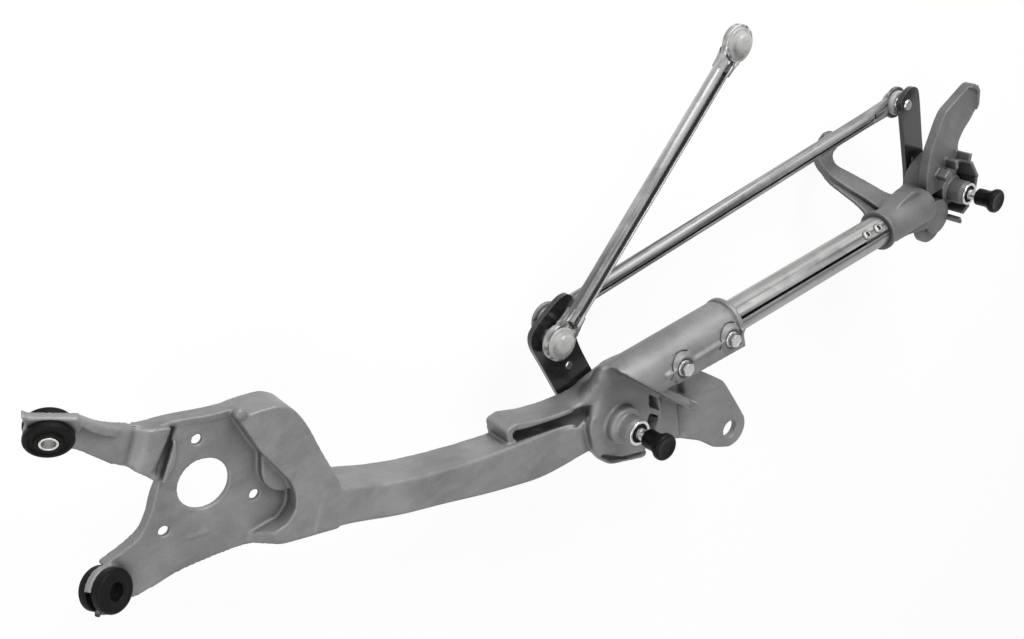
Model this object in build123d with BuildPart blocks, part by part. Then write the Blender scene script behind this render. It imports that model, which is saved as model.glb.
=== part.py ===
"""Wiper linkage: cast motor bracket, frame tube, far bearing bracket, two spindles, levers and links.

Millimetres. +Z points along both wiper spindles towards their tips, +X from the driver's spindle
to the far spindle, +Y towards the free end of the levers. The origin lies on the driver's
spindle axis, level with the front ring of its bearing nose.
"""
import math
import os

from build123d import *

os.makedirs("parts", exist_ok=True)

# Linkage geometry
SPINDLE_SPACING = 425.0
LINK_PIN = (-7.5, 81.5)
MOTOR_PIN = (-22.0, 81.0)
MOTOR_LINK_LENGTH = 268.0
MOTOR_LINK_ANGLE = 34.0

# Spindle, bearing bushes and nose
SPINDLE_R = 5.0
RUNNING_CLEARANCE = 0.03
SEAT_CLEARANCE = 0.02
BUSH_R = SPINDLE_R + 2.0
BUSH_LENGTH = 14.0
BUSH_TOP_Z = -3.0
NOSE_R = 11.0
NOSE_TIP_R = 9.2
NOSE_Z = -0.8
NOSE_BASE_Z = -18.0
COLLAR_R = 14.0
COLLAR_BASE_Z = -24.0
BORE_REAR_Z = -56.0
REAR_BOSS_R = 11.0
KNURL_TOP_Z = 8.5
KNURL_TIP_R = 4.5
THREAD_R = 4.0
SPINDLE_TIP_Z = 21.0
KNURL_TEETH = 24

# Levers, studs and socket cups
LEVER_TOP_Z = -58.0
LEVER_T = 4.5
BALL_R = 8.0
BALL_CLEARANCE = 0.08
MOTOR_BALL_Z = LEVER_TOP_Z + 11.0
NEAR_LINK_BALL_Z = LEVER_TOP_Z - LEVER_T - 16.5
FAR_LINK_BALL_Z = LEVER_TOP_Z - LEVER_T - 10.0
STUD_NECK_R = 4.5
STUD_BASE_R = 7.5
STUD_NECK = 10.0
CUP_R = 11.5
CUP_TOP = 10.5
CUP_MOUTH = 5.5
EYE_R = 14.6
EYE_T = 3.2

# Frame tube
TUBE_R = 14.0
TUBE_WALL = 1.8
TUBE_AXIS_Y = 36.3
TUBE_Z = -20.0
TUBE_ANGLE = -4.61
TUBE_START = 40.0
TUBE_END = SPINDLE_SPACING - 109.0
SEAM_WIDTH = 2.8
SEAM_ANGLE = 70.0

# Sleeve of the main casting
SLEEVE_R = 20.3
SLEEVE_START = -8.0
SLEEVE_END = 122.0
SLEEVE_BEAD = 3.5
BOLT_STATIONS = (54.0, 107.0)
BOLT_SHIFT = -2.0
BOLT_R = 3.0
BOLT_HEAD_AF = 10.0
BOLT_HEAD_T = 5.0
BOLT_BOSS_R = 13.0
BOLT_BOSS_TAPER = 22.0
BOLT_BOSS_Z = 1.8
BOLT_SEAT_R = 8.4
BOLT_SEAT_Z = 0.4
RIVET_STATIONS = (TUBE_END - 26.0, TUBE_END - 11.0)
RIVET_ANGLE = 44.0
RIVET_R = 2.0
SHOULDER_R = 16.8
SHOULDER_T = 8.0
FAR_BODY_R = 16.2
FAR_BODY_LENGTH = 60.0

# Motor end of the main casting
PLATE_Z = -28.0
PLATE_T = 3.5
RIM_DEPTH = 12.0
BLOCK_Z = -15.0
BLOCK_REAR_Z = -42.0
WALL = 3.5
ARM_FRONT_LEFT = (-240.0, -15.0)
ARM_FRONT_RIGHT = (-25.0, -30.0)
ARM_DEPTH = 34.0
MOTOR_PATTERN = (-308.6, 150.7)
MOTOR_PATTERN_R = 34.6
MOTOR_PATTERN_TURN = 77.6
MOTOR_HOLE_R = 3.4
MOTOR_BORE = (-308.5, 154.8)
MOTOR_BORE_R = 16.7

# Grommets and their ears
GROMMET_R = 13.6
GROMMET_WAIST_R = 9.5
GROMMET_BORE_R = 5.2
UPPER_GROMMET_HALF = 8.0
LOWER_GROMMET_HALF = 9.5
EAR_T = 5.0
EAR_R = 13.2
UPPER_EAR = (-373.0, 242.5, -20.0)
UPPER_AXIS = (-0.43, -0.29, 0.85)
LOWER_EAR = (-386.0, 129.8, -24.0)
LOWER_AXIS = (0.45, 0.05, 0.89)

# Fixing ear by the driver's spindle
FIXING_EAR = (118.5, -90.0)
FIXING_EAR_R = 17.0
FIXING_EAR_HOLE_R = 8.0
FIXING_EAR_Z = -30.0
FIXING_EAR_T = 6.5

# Protective caps
CAP_R = 7.4
CAP_FLANGE_R = 11.0
CAP_BASE_Z = 8.7
CAP_FLANGE_Z = 22.0
CAP_TOP_Z = 29.5
CAP_CLEARANCE = 0.06

# Links
ROD_WIDTH = 15.0
ROD_HEIGHT = 8.4
ROD_SHEET = 1.8
TIE_WIDTH = 14.4
TIE_HEIGHT = 11.0


def save(piece, name):
    """Label one finished piece and write its file."""
    piece.label = name
    export_step(piece, f"parts/{name}.step")


def tube_point(station):
    """Point on the frame tube's axis at the given distance from the driver's spindle."""
    return (station, TUBE_AXIS_Y + station * math.tan(math.radians(TUBE_ANGLE)), TUBE_Z)


def tube_plane(station):
    """Plane across the frame tube, its x axis along +Z and its normal along the tube."""
    along = (math.cos(math.radians(TUBE_ANGLE)), math.sin(math.radians(TUBE_ANGLE)), 0)
    return Plane(origin=tube_point(station), x_dir=(0, 0, 1), z_dir=along)


def from_far(points):
    """Plan points given from the far spindle, moved into the shared frame."""
    return [(x + SPINDLE_SPACING, y) for x, y in points]


def around_tube(angle, radius):
    """Position on a tube_plane for an angle measured from +Y towards +Z."""
    return (radius * math.sin(math.radians(angle)), -radius * math.cos(math.radians(angle)))


def across_tube(station, angle):
    """Plane through the tube's axis facing out at an angle measured from +Y towards +Z."""
    turn = math.radians(angle)
    lean = math.radians(TUBE_ANGLE)
    facing = (-math.sin(lean) * math.cos(turn), math.cos(lean) * math.cos(turn), math.sin(turn))
    return Plane(origin=tube_point(station), z_dir=facing)


def bolt_point(station):
    """Place of a sleeve screw in plan."""
    return (station, tube_point(station)[1] + BOLT_SHIFT)


# Main casting
ARM_SLOPE = math.atan2(ARM_FRONT_RIGHT[1] - ARM_FRONT_LEFT[1], ARM_FRONT_RIGHT[0] - ARM_FRONT_LEFT[0])


def arm_plane(drop):
    """Sloping plane of the arm's front face, lowered by the given amount."""
    return Plane(
        origin=(0, 0, ARM_FRONT_RIGHT[1] - ARM_FRONT_RIGHT[0] * math.tan(ARM_SLOPE) - drop),
        x_dir=(math.cos(ARM_SLOPE), 0, math.sin(ARM_SLOPE)),
        z_dir=(-math.sin(ARM_SLOPE), 0, math.cos(ARM_SLOPE)),
    )


ARM_UPPER = [
    (-244, 110), (-220, 95), (-192, 78.5), (-161, 64), (-128, 51), (-91, 38.5), (-52, 27),
    (-10, 16),
]
ARM_LOWER = [
    (-262, 84), (-244, 77), (-201, 53), (-168, 37), (-136, 21), (-101, 5), (-81, -3), (-61, -8),
    (-20, -16),
]
PLATE_OUTLINE = [
    (-318, 209), (-306, 201), (-294, 197), (-275, 190), (-262, 172),
    (-255, 110), (-276, 84), (-300, 98),
    (-317, 103), (-343, 109), (-376, 110), (-384, 121), (-381, 142),
    (-368, 144), (-356, 145), (-344, 156),
    (-338, 164), (-331, 174),
]
UPPER_ARM_OUTLINE = [
    (-310, 203), (-323, 208), (-337, 217), (-348, 229), (-357, 242),
    (-366, 238), (-374, 228), (-365, 224),
    (-355, 208), (-347, 196), (-338, 185), (-331, 170), (-318, 180),
]
BLOCK_OUTLINE = [
    (-277, 191), (-264, 188), (-251, 184), (-243.5, 177), (-240, 167), (-238, 156), (-236.5, 139),
    (-234, 121),
    (-232, 108), (-243, 76), (-258, 82), (-271, 87), (-281, 91), (-286, 94), (-284, 103.5),
    (-275, 103), (-266, 109),
    (-262, 119), (-262, 130), (-272, 161), (-276, 185),
]
LEDGE_OUTLINE = [
    (-269, 161), (-272, 150), (-275, 143), (-276, 135), (-273, 127), (-266, 121), (-256, 122), (-258, 140),
]
GROOVE_OUTLINE = [(-312.5, 203), (-309, 200), (-331.5, 172.5), (-335, 175.5)]
FOLD_OUTLINE = [(-331, 212), (-325, 207), (-338, 191), (-344, 195)]
MARK_OUTLINE = [(-330, 127.2), (-330, 125), (-318, 121.8), (-318, 124)]
KNOB = (-273.8, 191.5)
KNOB_R = 3.2
BLOCK_RAMP_FOOT = [(-300, 98), (-297, 105), (-279, 104), (-279, 90)]
BLOCK_RAMP_HEAD = [(-285.5, 94), (-284, 103), (-279, 103), (-279, 90.5)]
RIM_OUTER = [
    (-362.5, 247), (-357, 243), (-349, 231.5), (-337, 218.5), (-324, 209.5), (-314, 206), (-294, 198),
    (-272, 190.5),
]
RIM_INNER = [
    (-365, 243.5), (-360, 239.5), (-352.5, 227.5), (-340, 214.5), (-326.5, 205.5), (-316, 202), (-296, 194),
    (-272, 186),
]
RIM_FRONT = [(-368, -19.5), (-357, -20), (-345, -22), (-333, -24.5), (-322, -27.3), (-305, -28), (-270, -28)]
RIM_REAR = [(-368, -26), (-357, -27.5), (-345, -33), (-333, -37), (-322, -39), (-305, -40), (-270, -40)]
LEFT_RIM = [
    (-331, 172), (-339, 163.5), (-344, 155.5), (-352, 147), (-362, 144),
    (-373, 142.5), (-381, 142), (-381, 138.5),
    (-372, 139), (-361, 140.5), (-350, 143.5), (-341, 152), (-335, 161), (-328, 169),
]
POCKET_OUTLINE = [
    (-98, 34), (-96, 52), (-86, 52.5), (-67, 43), (-48, 36.5), (-29, 32),
    (-8, 30), (10, 33), (20, 20), (-30, 10),
    (-60, 22),
]
POCKET_HOLE = [
    (-92, 40.5), (-91, 47), (-67, 39), (-48, 33), (-28, 27.5), (-20, 25), (-26, 19), (-52, 30),
]
HOUSING_OUTLINE = [
    (-29, 14), (-29, -14), (-22, -24), (-14, -30), (16, -43), (38, -36), (44, -8), (40, 16),
    (20, 29), (-12, 31),
]
HOUSING_FOOT = [
    (-29, 14), (-29, -14), (-22, -24), (-14, -30), (16, -43), (50, -36), (56, -8), (52, 28),
    (22, 35), (-12, 32),
]
EAR_OUTLINE = [
    (62, 6), (93, -9), (120, -38), (129, -63), (136.6, -85.5), (130, -98), (112, -105.8), (97, -96),
    (83, -79),
    (62, -62), (34, -46), (30, 0),
]
LIP_OUTLINE = [
    (-27, -12), (-27, -20), (-17, -33), (18, -49.5), (22, -46), (20, -42), (14, -41), (-14, -27),
    (-22, -14),
]
SLEEVE_END_CUT = [(60, -21), (0, 55.6), (-30, 70), (-60, 0), (0, -60)]
RIB_OUTLINE = [(30, 20), (42, 2), (73, -35), (78, -29), (46, 8)]
WINDOWS = [
    [(34, 5), (41, -5), (40, -13), (32, -5)],
    [(31, -12), (39, -20), (34, -28), (27, -18)],
]


def between(start, end, reach):
    """Point that lies the given length from the start towards the end, or just short of halfway."""
    length = math.hypot(end[0] - start[0], end[1] - start[1])
    share = min(reach / length, 0.46)
    return (start[0] + (end[0] - start[0]) * share, start[1] + (end[1] - start[1]) * share)


def soft_outline(outline, reach):
    """Draw a closed outline whose corners are rounded over the given length, inside the open line."""
    for number, corner in enumerate(outline):
        before = outline[number - 1]
        after = outline[(number + 1) % len(outline)]
        leaving = between(corner, after, reach)
        Bezier(between(corner, before, reach), corner, leaving)
        Line(leaving, between(after, corner, reach))


def prism(outline, top, depth, mode=Mode.ADD, reach=0.0):
    """Extrude a closed outline downwards from the given height, inside the open part."""
    with BuildSketch(Plane.XY.offset(top)) as face:
        with BuildLine():
            if reach > 0:
                soft_outline(outline, reach)
            else:
                Polyline(*outline, close=True)
        make_face()
    extrude(face.sketch, amount=-depth, mode=mode)


# Rim along the top of the motor plate, which rises and narrows to the upper ear
with BuildPart() as top_rim:
    with BuildSketch():
        with BuildLine():
            outer = Spline(*RIM_OUTER)
            inner = Spline(*RIM_INNER)
            Line(outer @ 0, inner @ 0)
            Line(outer @ 1, inner @ 1)
        make_face()
    extrude(amount=-60)
    with BuildSketch(Plane.XZ.offset(-150)):
        with BuildLine():
            front = Spline(*RIM_FRONT)
            rear = Spline(*RIM_REAR)
            Line(front @ 0, rear @ 0)
            Line(front @ 1, rear @ 1)
        make_face()
    extrude(amount=-150, mode=Mode.INTERSECT)

with BuildPart() as main_casting:
    with BuildSketch(arm_plane(0)):
        with BuildLine():
            upper = Spline(*ARM_UPPER)
            lower = Spline(*ARM_LOWER)
            Line(upper @ 0, lower @ 0)
            Line(upper @ 1, lower @ 1)
        make_face()
    extrude(amount=ARM_DEPTH, dir=(0, 0, -1))
    fillet(main_casting.faces().sort_by(Axis.Z)[-1].edges().filter_by(GeomType.BSPLINE), 2.5)
    with BuildSketch(arm_plane(WALL)):
        with BuildLine():
            inner_upper = Spline(*[(x, y - WALL) for x, y in ARM_UPPER[:-1]])
            inner_lower = Spline(*[(x, y + WALL) for x, y in ARM_LOWER[1:-1]])
            Line(inner_upper @ 0, inner_lower @ 0)
            Line(inner_upper @ 1, inner_lower @ 1)
        make_face()
    extrude(amount=ARM_DEPTH, dir=(0, 0, -1), mode=Mode.SUBTRACT)
    with BuildSketch(Plane.XZ.offset(-200)) as rear_cut:
        with BuildLine():
            Polyline((-300, -48), (-240, -49), (-30, -56), (40, -56), (40, -90), (-300, -90), close=True)
        make_face()
    extrude(amount=300, mode=Mode.SUBTRACT)
    for centre_x, centre_y in ((-214, 75), (-176, 56), (-138, 38), (-100, 22)):
        with BuildSketch(Plane.XY.offset(-48)):
            with Locations((centre_x, centre_y)):
                Rectangle(3, 26, rotation=-24)
        extrude(amount=16)
    prism(BLOCK_OUTLINE, BLOCK_Z, BLOCK_Z - BLOCK_REAR_Z, reach=4)
    with BuildSketch(Plane.XY.offset(PLATE_Z - 1)):
        Polygon(*BLOCK_RAMP_FOOT, align=None)
    with BuildSketch(Plane.XY.offset(BLOCK_Z)):
        Polygon(*BLOCK_RAMP_HEAD, align=None)
    loft()
    with BuildSketch(Plane.XY.offset(BLOCK_REAR_Z)):
        with BuildLine():
            Polyline(
                (-272, 186), (-256, 179), (-248, 171), (-242.5, 155), (-240, 139), (-238, 108),
                (-246, 84), (-272, 92),
                (-264, 102), (-259, 116), (-258, 131), (-268, 162), close=True,
            )
        make_face()
    extrude(amount=BLOCK_Z - BLOCK_REAR_Z - WALL, mode=Mode.SUBTRACT)
    prism(PLATE_OUTLINE, PLATE_Z, PLATE_T, reach=9)
    prism(LEDGE_OUTLINE, PLATE_Z + 6, 8, reach=3)
    prism(MARK_OUTLINE, PLATE_Z + 0.9, 2)
    prism(UPPER_ARM_OUTLINE, PLATE_Z + 4, 6.5, reach=7)
    prism(GROOVE_OUTLINE, PLATE_Z + 6, 7.8, Mode.SUBTRACT, reach=1.5)
    prism(FOLD_OUTLINE, PLATE_Z + 6, 3.2, Mode.SUBTRACT, reach=3)
    with BuildSketch(Plane.XY.offset(BLOCK_Z - 5)):
        with Locations(KNOB):
            Circle(KNOB_R)
    extrude(amount=6.4)
    add(top_rim.part)
    prism(LEFT_RIM, PLATE_Z, 9, reach=7)

    # Pocket box, bearing housing and lip
    prism(POCKET_OUTLINE, ARM_FRONT_RIGHT[1], 26.0, reach=3)
    prism(POCKET_HOLE, ARM_FRONT_RIGHT[1] + 5, 29, Mode.SUBTRACT, reach=2)
    with BuildSketch(Plane.XY.offset(-23)):
        with BuildLine():
            soft_outline(HOUSING_OUTLINE, 7)
        make_face()
    with BuildSketch(Plane.XY.offset(-36)):
        with BuildLine():
            soft_outline(HOUSING_FOOT, 7)
        make_face()
    loft(ruled=True)
    prism(HOUSING_FOOT, -36, 20, reach=7)
    with BuildSketch(Plane.XY.offset(BORE_REAR_Z)):
        Circle(REAR_BOSS_R)
    extrude(amount=20)
    prism(LIP_OUTLINE, -24.0, 7.0, reach=5)

    # Tube sleeve with its flat strip and bolt bosses
    with BuildSketch(tube_plane(SLEEVE_START)):
        Circle(SLEEVE_R)
    extrude(amount=(SLEEVE_END - SLEEVE_START) / math.cos(math.radians(TUBE_ANGLE)))
    with BuildSketch(tube_plane(SLEEVE_END - SLEEVE_BEAD)):
        Circle(SLEEVE_R + 0.9)
    extrude(amount=SLEEVE_BEAD)
    with BuildSketch(tube_plane(34)):
        with Locations(around_tube(118, SLEEVE_R - 5)):
            Rectangle(9, 24, rotation=28)
    extrude(amount=(SLEEVE_END - 34) / math.cos(math.radians(TUBE_ANGLE)))
    for station in BOLT_STATIONS:
        with BuildSketch(Plane.XY.offset(TUBE_Z + SLEEVE_R - 4.3)):
            with Locations(bolt_point(station)):
                Circle(BOLT_BOSS_R)
        extrude(amount=BOLT_BOSS_Z - TUBE_Z - SLEEVE_R + 4.3, taper=BOLT_BOSS_TAPER)
        with BuildSketch(Plane.XY.offset(BOLT_SEAT_Z)):
            with Locations(bolt_point(station)):
                Circle(BOLT_SEAT_R)
        extrude(amount=8, mode=Mode.SUBTRACT)

    prism(SLEEVE_END_CUT, 12, 35, Mode.SUBTRACT)

    # Bearing nose and collar
    with BuildSketch(Plane.XZ):
        with BuildLine():
            Polyline(
                (0, NOSE_Z), (NOSE_TIP_R, NOSE_Z), (NOSE_R, NOSE_Z - 4), (NOSE_R, NOSE_BASE_Z),
                (COLLAR_R, NOSE_BASE_Z - 0.6), (COLLAR_R + 1.5, COLLAR_BASE_Z + 2),
                (COLLAR_R + 5, COLLAR_BASE_Z),
                (COLLAR_R + 5, COLLAR_BASE_Z - 10), (0, COLLAR_BASE_Z - 10), close=True,
            )
        make_face()
    revolve(axis=Axis.Z)

    # Fixing ear and its rib
    prism(EAR_OUTLINE, FIXING_EAR_Z, FIXING_EAR_T, reach=5)
    with BuildSketch(Plane.XY.offset(FIXING_EAR_Z)):
        with Locations((FIXING_EAR[0] + 2, FIXING_EAR[1] - 1)):
            Circle(FIXING_EAR_R)
    extrude(amount=-FIXING_EAR_T)
    prism(RIB_OUTLINE, -16, 18)

    # Ears for the grommets
    for centre, axis in ((UPPER_EAR, UPPER_AXIS), (LOWER_EAR, LOWER_AXIS)):
        with BuildSketch(Plane(origin=centre, z_dir=axis)):
            Circle(EAR_R)
            if centre == LOWER_EAR:
                with Locations((-12.6, -4.2)):
                    Rectangle(9, 7, rotation=28)
        extrude(amount=EAR_T / 2, both=True)
        for facing in (1, -1):
            side = Plane(origin=centre, z_dir=[facing * part for part in axis]).offset(EAR_T / 2)
            with BuildSketch(side):
                Circle(GROMMET_R + 0.3)
            extrude(amount=LOWER_GROMMET_HALF + 1, mode=Mode.SUBTRACT)

    # Holes
    for centre, axis in ((UPPER_EAR, UPPER_AXIS), (LOWER_EAR, LOWER_AXIS)):
        with BuildSketch(Plane(origin=centre, z_dir=axis)):
            Circle(GROMMET_WAIST_R + SEAT_CLEARANCE)
        extrude(amount=14, both=True, mode=Mode.SUBTRACT)
    with BuildSketch(Plane.XY.offset(PLATE_Z + 6)):
        with Locations(MOTOR_PATTERN):
            with PolarLocations(MOTOR_PATTERN_R, 3, start_angle=MOTOR_PATTERN_TURN):
                Circle(MOTOR_HOLE_R)
        with Locations(MOTOR_BORE):
            Circle(MOTOR_BORE_R)
    extrude(amount=-12, mode=Mode.SUBTRACT)
    with BuildSketch(Plane.XY.offset(5)):
        Circle(BUSH_R + SEAT_CLEARANCE)
    extrude(amount=-70, mode=Mode.SUBTRACT)
    with BuildSketch(tube_plane(TUBE_START - 1)):
        Circle(TUBE_R + SEAT_CLEARANCE)
    extrude(amount=120, mode=Mode.SUBTRACT)
    for station in BOLT_STATIONS:
        with BuildSketch(Plane.XY.offset(10)):
            with Locations(bolt_point(station)):
                Circle(BOLT_R + SEAT_CLEARANCE)
        extrude(amount=-30, mode=Mode.SUBTRACT)
    with BuildSketch(Plane.XY.offset(FIXING_EAR_Z + 5)):
        with Locations(FIXING_EAR):
            Circle(FIXING_EAR_HOLE_R)
    extrude(amount=-20, mode=Mode.SUBTRACT)
    for outline in WINDOWS:
        prism(outline, 0, 40, Mode.SUBTRACT)
save(main_casting.part, "main_casting")


# Bearing parts, made alike for both spindles
def shaft(centre):
    """Turned spindle with a knurled cone and a threaded tip."""
    with BuildPart() as body:
        with BuildSketch(Plane.XZ):
            with BuildLine():
                Polyline(
                    (0, LEVER_TOP_Z - LEVER_T - 1.5), (SPINDLE_R + 1.2, LEVER_TOP_Z - LEVER_T - 1.5),
                    (SPINDLE_R + 1.2, LEVER_TOP_Z - LEVER_T), (SPINDLE_R, LEVER_TOP_Z - LEVER_T),
                    (SPINDLE_R, 0.6),
                    (KNURL_TIP_R, KNURL_TOP_Z), (THREAD_R, KNURL_TOP_Z), (THREAD_R, SPINDLE_TIP_Z - 0.8),
                    (THREAD_R - 0.8, SPINDLE_TIP_Z), (0, SPINDLE_TIP_Z), close=True,
                )
            make_face()
        revolve(axis=Axis.Z)
        with BuildSketch(Plane.XY.offset(1.2)):
            with PolarLocations(SPINDLE_R + 0.22, KNURL_TEETH):
                Rectangle(0.7, 0.36, rotation=45)
        extrude(amount=KNURL_TOP_Z - 1.2, mode=Mode.SUBTRACT)
    return body.part.moved(Location((centre, 0, 0)))


def ring(centre, inner, outer, base, height, edge=0.0):
    """Plain turned ring standing on the given height, its outer edges broken if asked."""
    with BuildPart() as body:
        with BuildSketch(Plane.XY.offset(base)):
            Circle(outer)
            Circle(inner, mode=Mode.SUBTRACT)
        extrude(amount=height)
        if edge > 0:
            rims = body.edges().filter_by(GeomType.CIRCLE)
            chamfer(rims.filter_by(lambda e: e.radius > outer - 0.01), edge)
    return body.part.moved(Location((centre, 0, 0)))


def seal(centre):
    """Round-section sealing ring round the spindle in the nose."""
    with BuildPart() as body:
        with BuildSketch(Plane.XZ):
            with Locations(((SPINDLE_R + BUSH_R) / 2, NOSE_Z - 0.2)):
                Circle((BUSH_R - SPINDLE_R) / 2 - SEAT_CLEARANCE)
        revolve(axis=Axis.Z)
    return body.part.moved(Location((centre, 0, 0)))


def cap(centre):
    """Protective cap pushed over the threaded tip."""
    with BuildPart() as body:
        with BuildSketch(Plane.XZ):
            with BuildLine():
                Polyline(
                    (0, CAP_BASE_Z), (CAP_R, CAP_BASE_Z), (CAP_R, CAP_FLANGE_Z - 1.6),
                    (CAP_FLANGE_R - 0.6, CAP_FLANGE_Z),
                    (CAP_FLANGE_R, CAP_FLANGE_Z + 0.8), (CAP_FLANGE_R, CAP_FLANGE_Z + 2.6),
                )
                Spline(
                    (CAP_FLANGE_R, CAP_FLANGE_Z + 2.6), (CAP_FLANGE_R - 2.2, CAP_TOP_Z - 2.2),
                    (CAP_FLANGE_R / 2, CAP_TOP_Z - 0.6), (0, CAP_TOP_Z),
                    tangents=((-0.2, 1), (-1, 0)),
                )
                Line((0, CAP_TOP_Z), (0, CAP_BASE_Z))
            make_face()
        revolve(axis=Axis.Z)
        with BuildSketch(Plane.XY.offset(CAP_BASE_Z)):
            Circle(THREAD_R + CAP_CLEARANCE)
        extrude(amount=SPINDLE_TIP_Z - CAP_BASE_Z + 1, mode=Mode.SUBTRACT)
    return body.part.moved(Location((centre, 0, 0)))


def stud(place, ball):
    """Riveted ball stud whose ball's centre lies at the given height, above or below its lever."""
    up = 1 if ball > LEVER_TOP_Z else -1
    seat = LEVER_TOP_Z if up > 0 else LEVER_TOP_Z - LEVER_T
    far_side = LEVER_TOP_Z - LEVER_T if up > 0 else LEVER_TOP_Z
    with BuildPart() as body:
        with BuildSketch(Plane.XY.offset(seat)):
            Circle(STUD_BASE_R)
        extrude(amount=max(abs(ball - seat) - STUD_NECK, 1.2) * up)
        with BuildSketch(Plane.XY.offset(seat)):
            Circle(STUD_NECK_R)
        extrude(amount=ball - seat)
        with Locations((0, 0, ball)):
            Sphere(BALL_R)
        with BuildSketch(Plane.XY.offset(seat)):
            Circle(STUD_NECK_R - 0.5)
        extrude(amount=far_side - seat - 0.01 * up)
        with BuildSketch(Plane.XY.offset(far_side)):
            Circle(STUD_NECK_R + 0.8)
        extrude(amount=-1.3 * up, taper=35)
    return body.part.moved(Location((place[0], place[1], 0)))


def cup(up):
    """Moulded socket cup about the ball's centre; up is 1 when its dome faces +Z."""
    with BuildPart() as body:
        with BuildSketch(Plane.XZ):
            with BuildLine():
                Polyline(
                    (0, CUP_TOP), (5.5, CUP_TOP - 0.5), (8.6, CUP_TOP - 2.4), (10.4, CUP_TOP - 5.2),
                    (CUP_R, CUP_TOP - 7.0),
                    (CUP_R, -EYE_T / 2 - 1.6), (CUP_R - 0.8, -CUP_MOUTH), (0, -CUP_MOUTH), close=True,
                )
            make_face()
        revolve(axis=Axis.Z)
        with BuildSketch(Plane.XY.offset(EYE_T / 2)):
            Circle(CUP_R + 1.4)
        extrude(amount=1.2)
        Sphere(BALL_R + BALL_CLEARANCE, mode=Mode.SUBTRACT)
        with BuildSketch(Plane.XY.offset(-CUP_MOUTH)):
            Circle(BALL_R - 1.6)
        extrude(amount=CUP_MOUTH, mode=Mode.SUBTRACT)
    return body.part if up > 0 else body.part.rotate(Axis.X, 180)


def bearing(centre, side):
    """Save everything that belongs to one spindle's bearing."""
    save(shaft(centre), side + "_spindle")
    low = BORE_REAR_Z
    bush_bore = SPINDLE_R + RUNNING_CLEARANCE
    save(ring(centre, bush_bore, BUSH_R, BUSH_TOP_Z - BUSH_LENGTH, BUSH_LENGTH), side + "_upper_bush")
    save(ring(centre, bush_bore, BUSH_R, low, BUSH_LENGTH), side + "_lower_bush")
    save(seal(centre), side + "_seal_ring")
    save(ring(centre, BUSH_R, NOSE_TIP_R - 0.8, NOSE_Z, 0.8, 0.25), side + "_nose_ring")
    save(ring(centre, SPINDLE_R + 0.35, REAR_BOSS_R - 1.5, low - 1.7, 1.4), side + "_thrust_washer")
    save(cap(centre), side + "_cap")


bearing(0.0, "driver")
bearing(SPINDLE_SPACING, "far")

# Levers
with BuildPart() as driver_lever:
    with BuildSketch(Plane.XY.offset(LEVER_TOP_Z)):
        with BuildLine():
            soft_outline([
                (-13, -11), (-24, 14), (-28, 31), (-36, 64), (-40.5, 81), (-39, 91), (-33, 96), (-22, 101),
                (-6, 108), (4, 107), (7.5, 99), (5, 84), (1, 70), (3, 55), (9, 31), (15.5, 8),
                (11, -12), (-1, -18),
            ], 8)
        make_face()
    extrude(amount=-LEVER_T)
    with BuildSketch(Plane.XY.offset(LEVER_TOP_Z)):
        Circle(SPINDLE_R + SEAT_CLEARANCE)
        with Locations(LINK_PIN, MOTOR_PIN):
            Circle(STUD_NECK_R - 0.5 + SEAT_CLEARANCE)
        with Locations((-11, 48)):
            Circle(3.2)
    extrude(amount=-LEVER_T, mode=Mode.SUBTRACT)
save(driver_lever.part, "driver_lever")

with BuildPart() as far_lever:
    with BuildSketch(Plane.XY.offset(LEVER_TOP_Z)):
        with BuildLine():
            soft_outline([
                (-14.5, -8), (-13, 10), (-16, 70), (-17.5, 85), (-11, 94), (0, 97), (9, 92),
                (10.5, 80), (12, 30), (14.5, 8),
                (11, -12), (-4, -16.5),
            ], 8)
        make_face()
    extrude(amount=-LEVER_T)
    with BuildSketch(Plane.XY.offset(LEVER_TOP_Z)):
        Circle(SPINDLE_R + SEAT_CLEARANCE)
        with Locations(LINK_PIN):
            Circle(STUD_NECK_R - 0.5 + SEAT_CLEARANCE)
        with Locations((-3, 24)):
            Circle(2.6)
    extrude(amount=-LEVER_T, mode=Mode.SUBTRACT)
save(far_lever.part.moved(Location((SPINDLE_SPACING, 0, 0))), "far_lever")

save(stud(MOTOR_PIN, MOTOR_BALL_Z), "motor_link_stud")
save(stud(LINK_PIN, NEAR_LINK_BALL_Z), "near_tie_stud")
save(stud((LINK_PIN[0] + SPINDLE_SPACING, LINK_PIN[1]), FAR_LINK_BALL_Z), "far_tie_stud")

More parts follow.
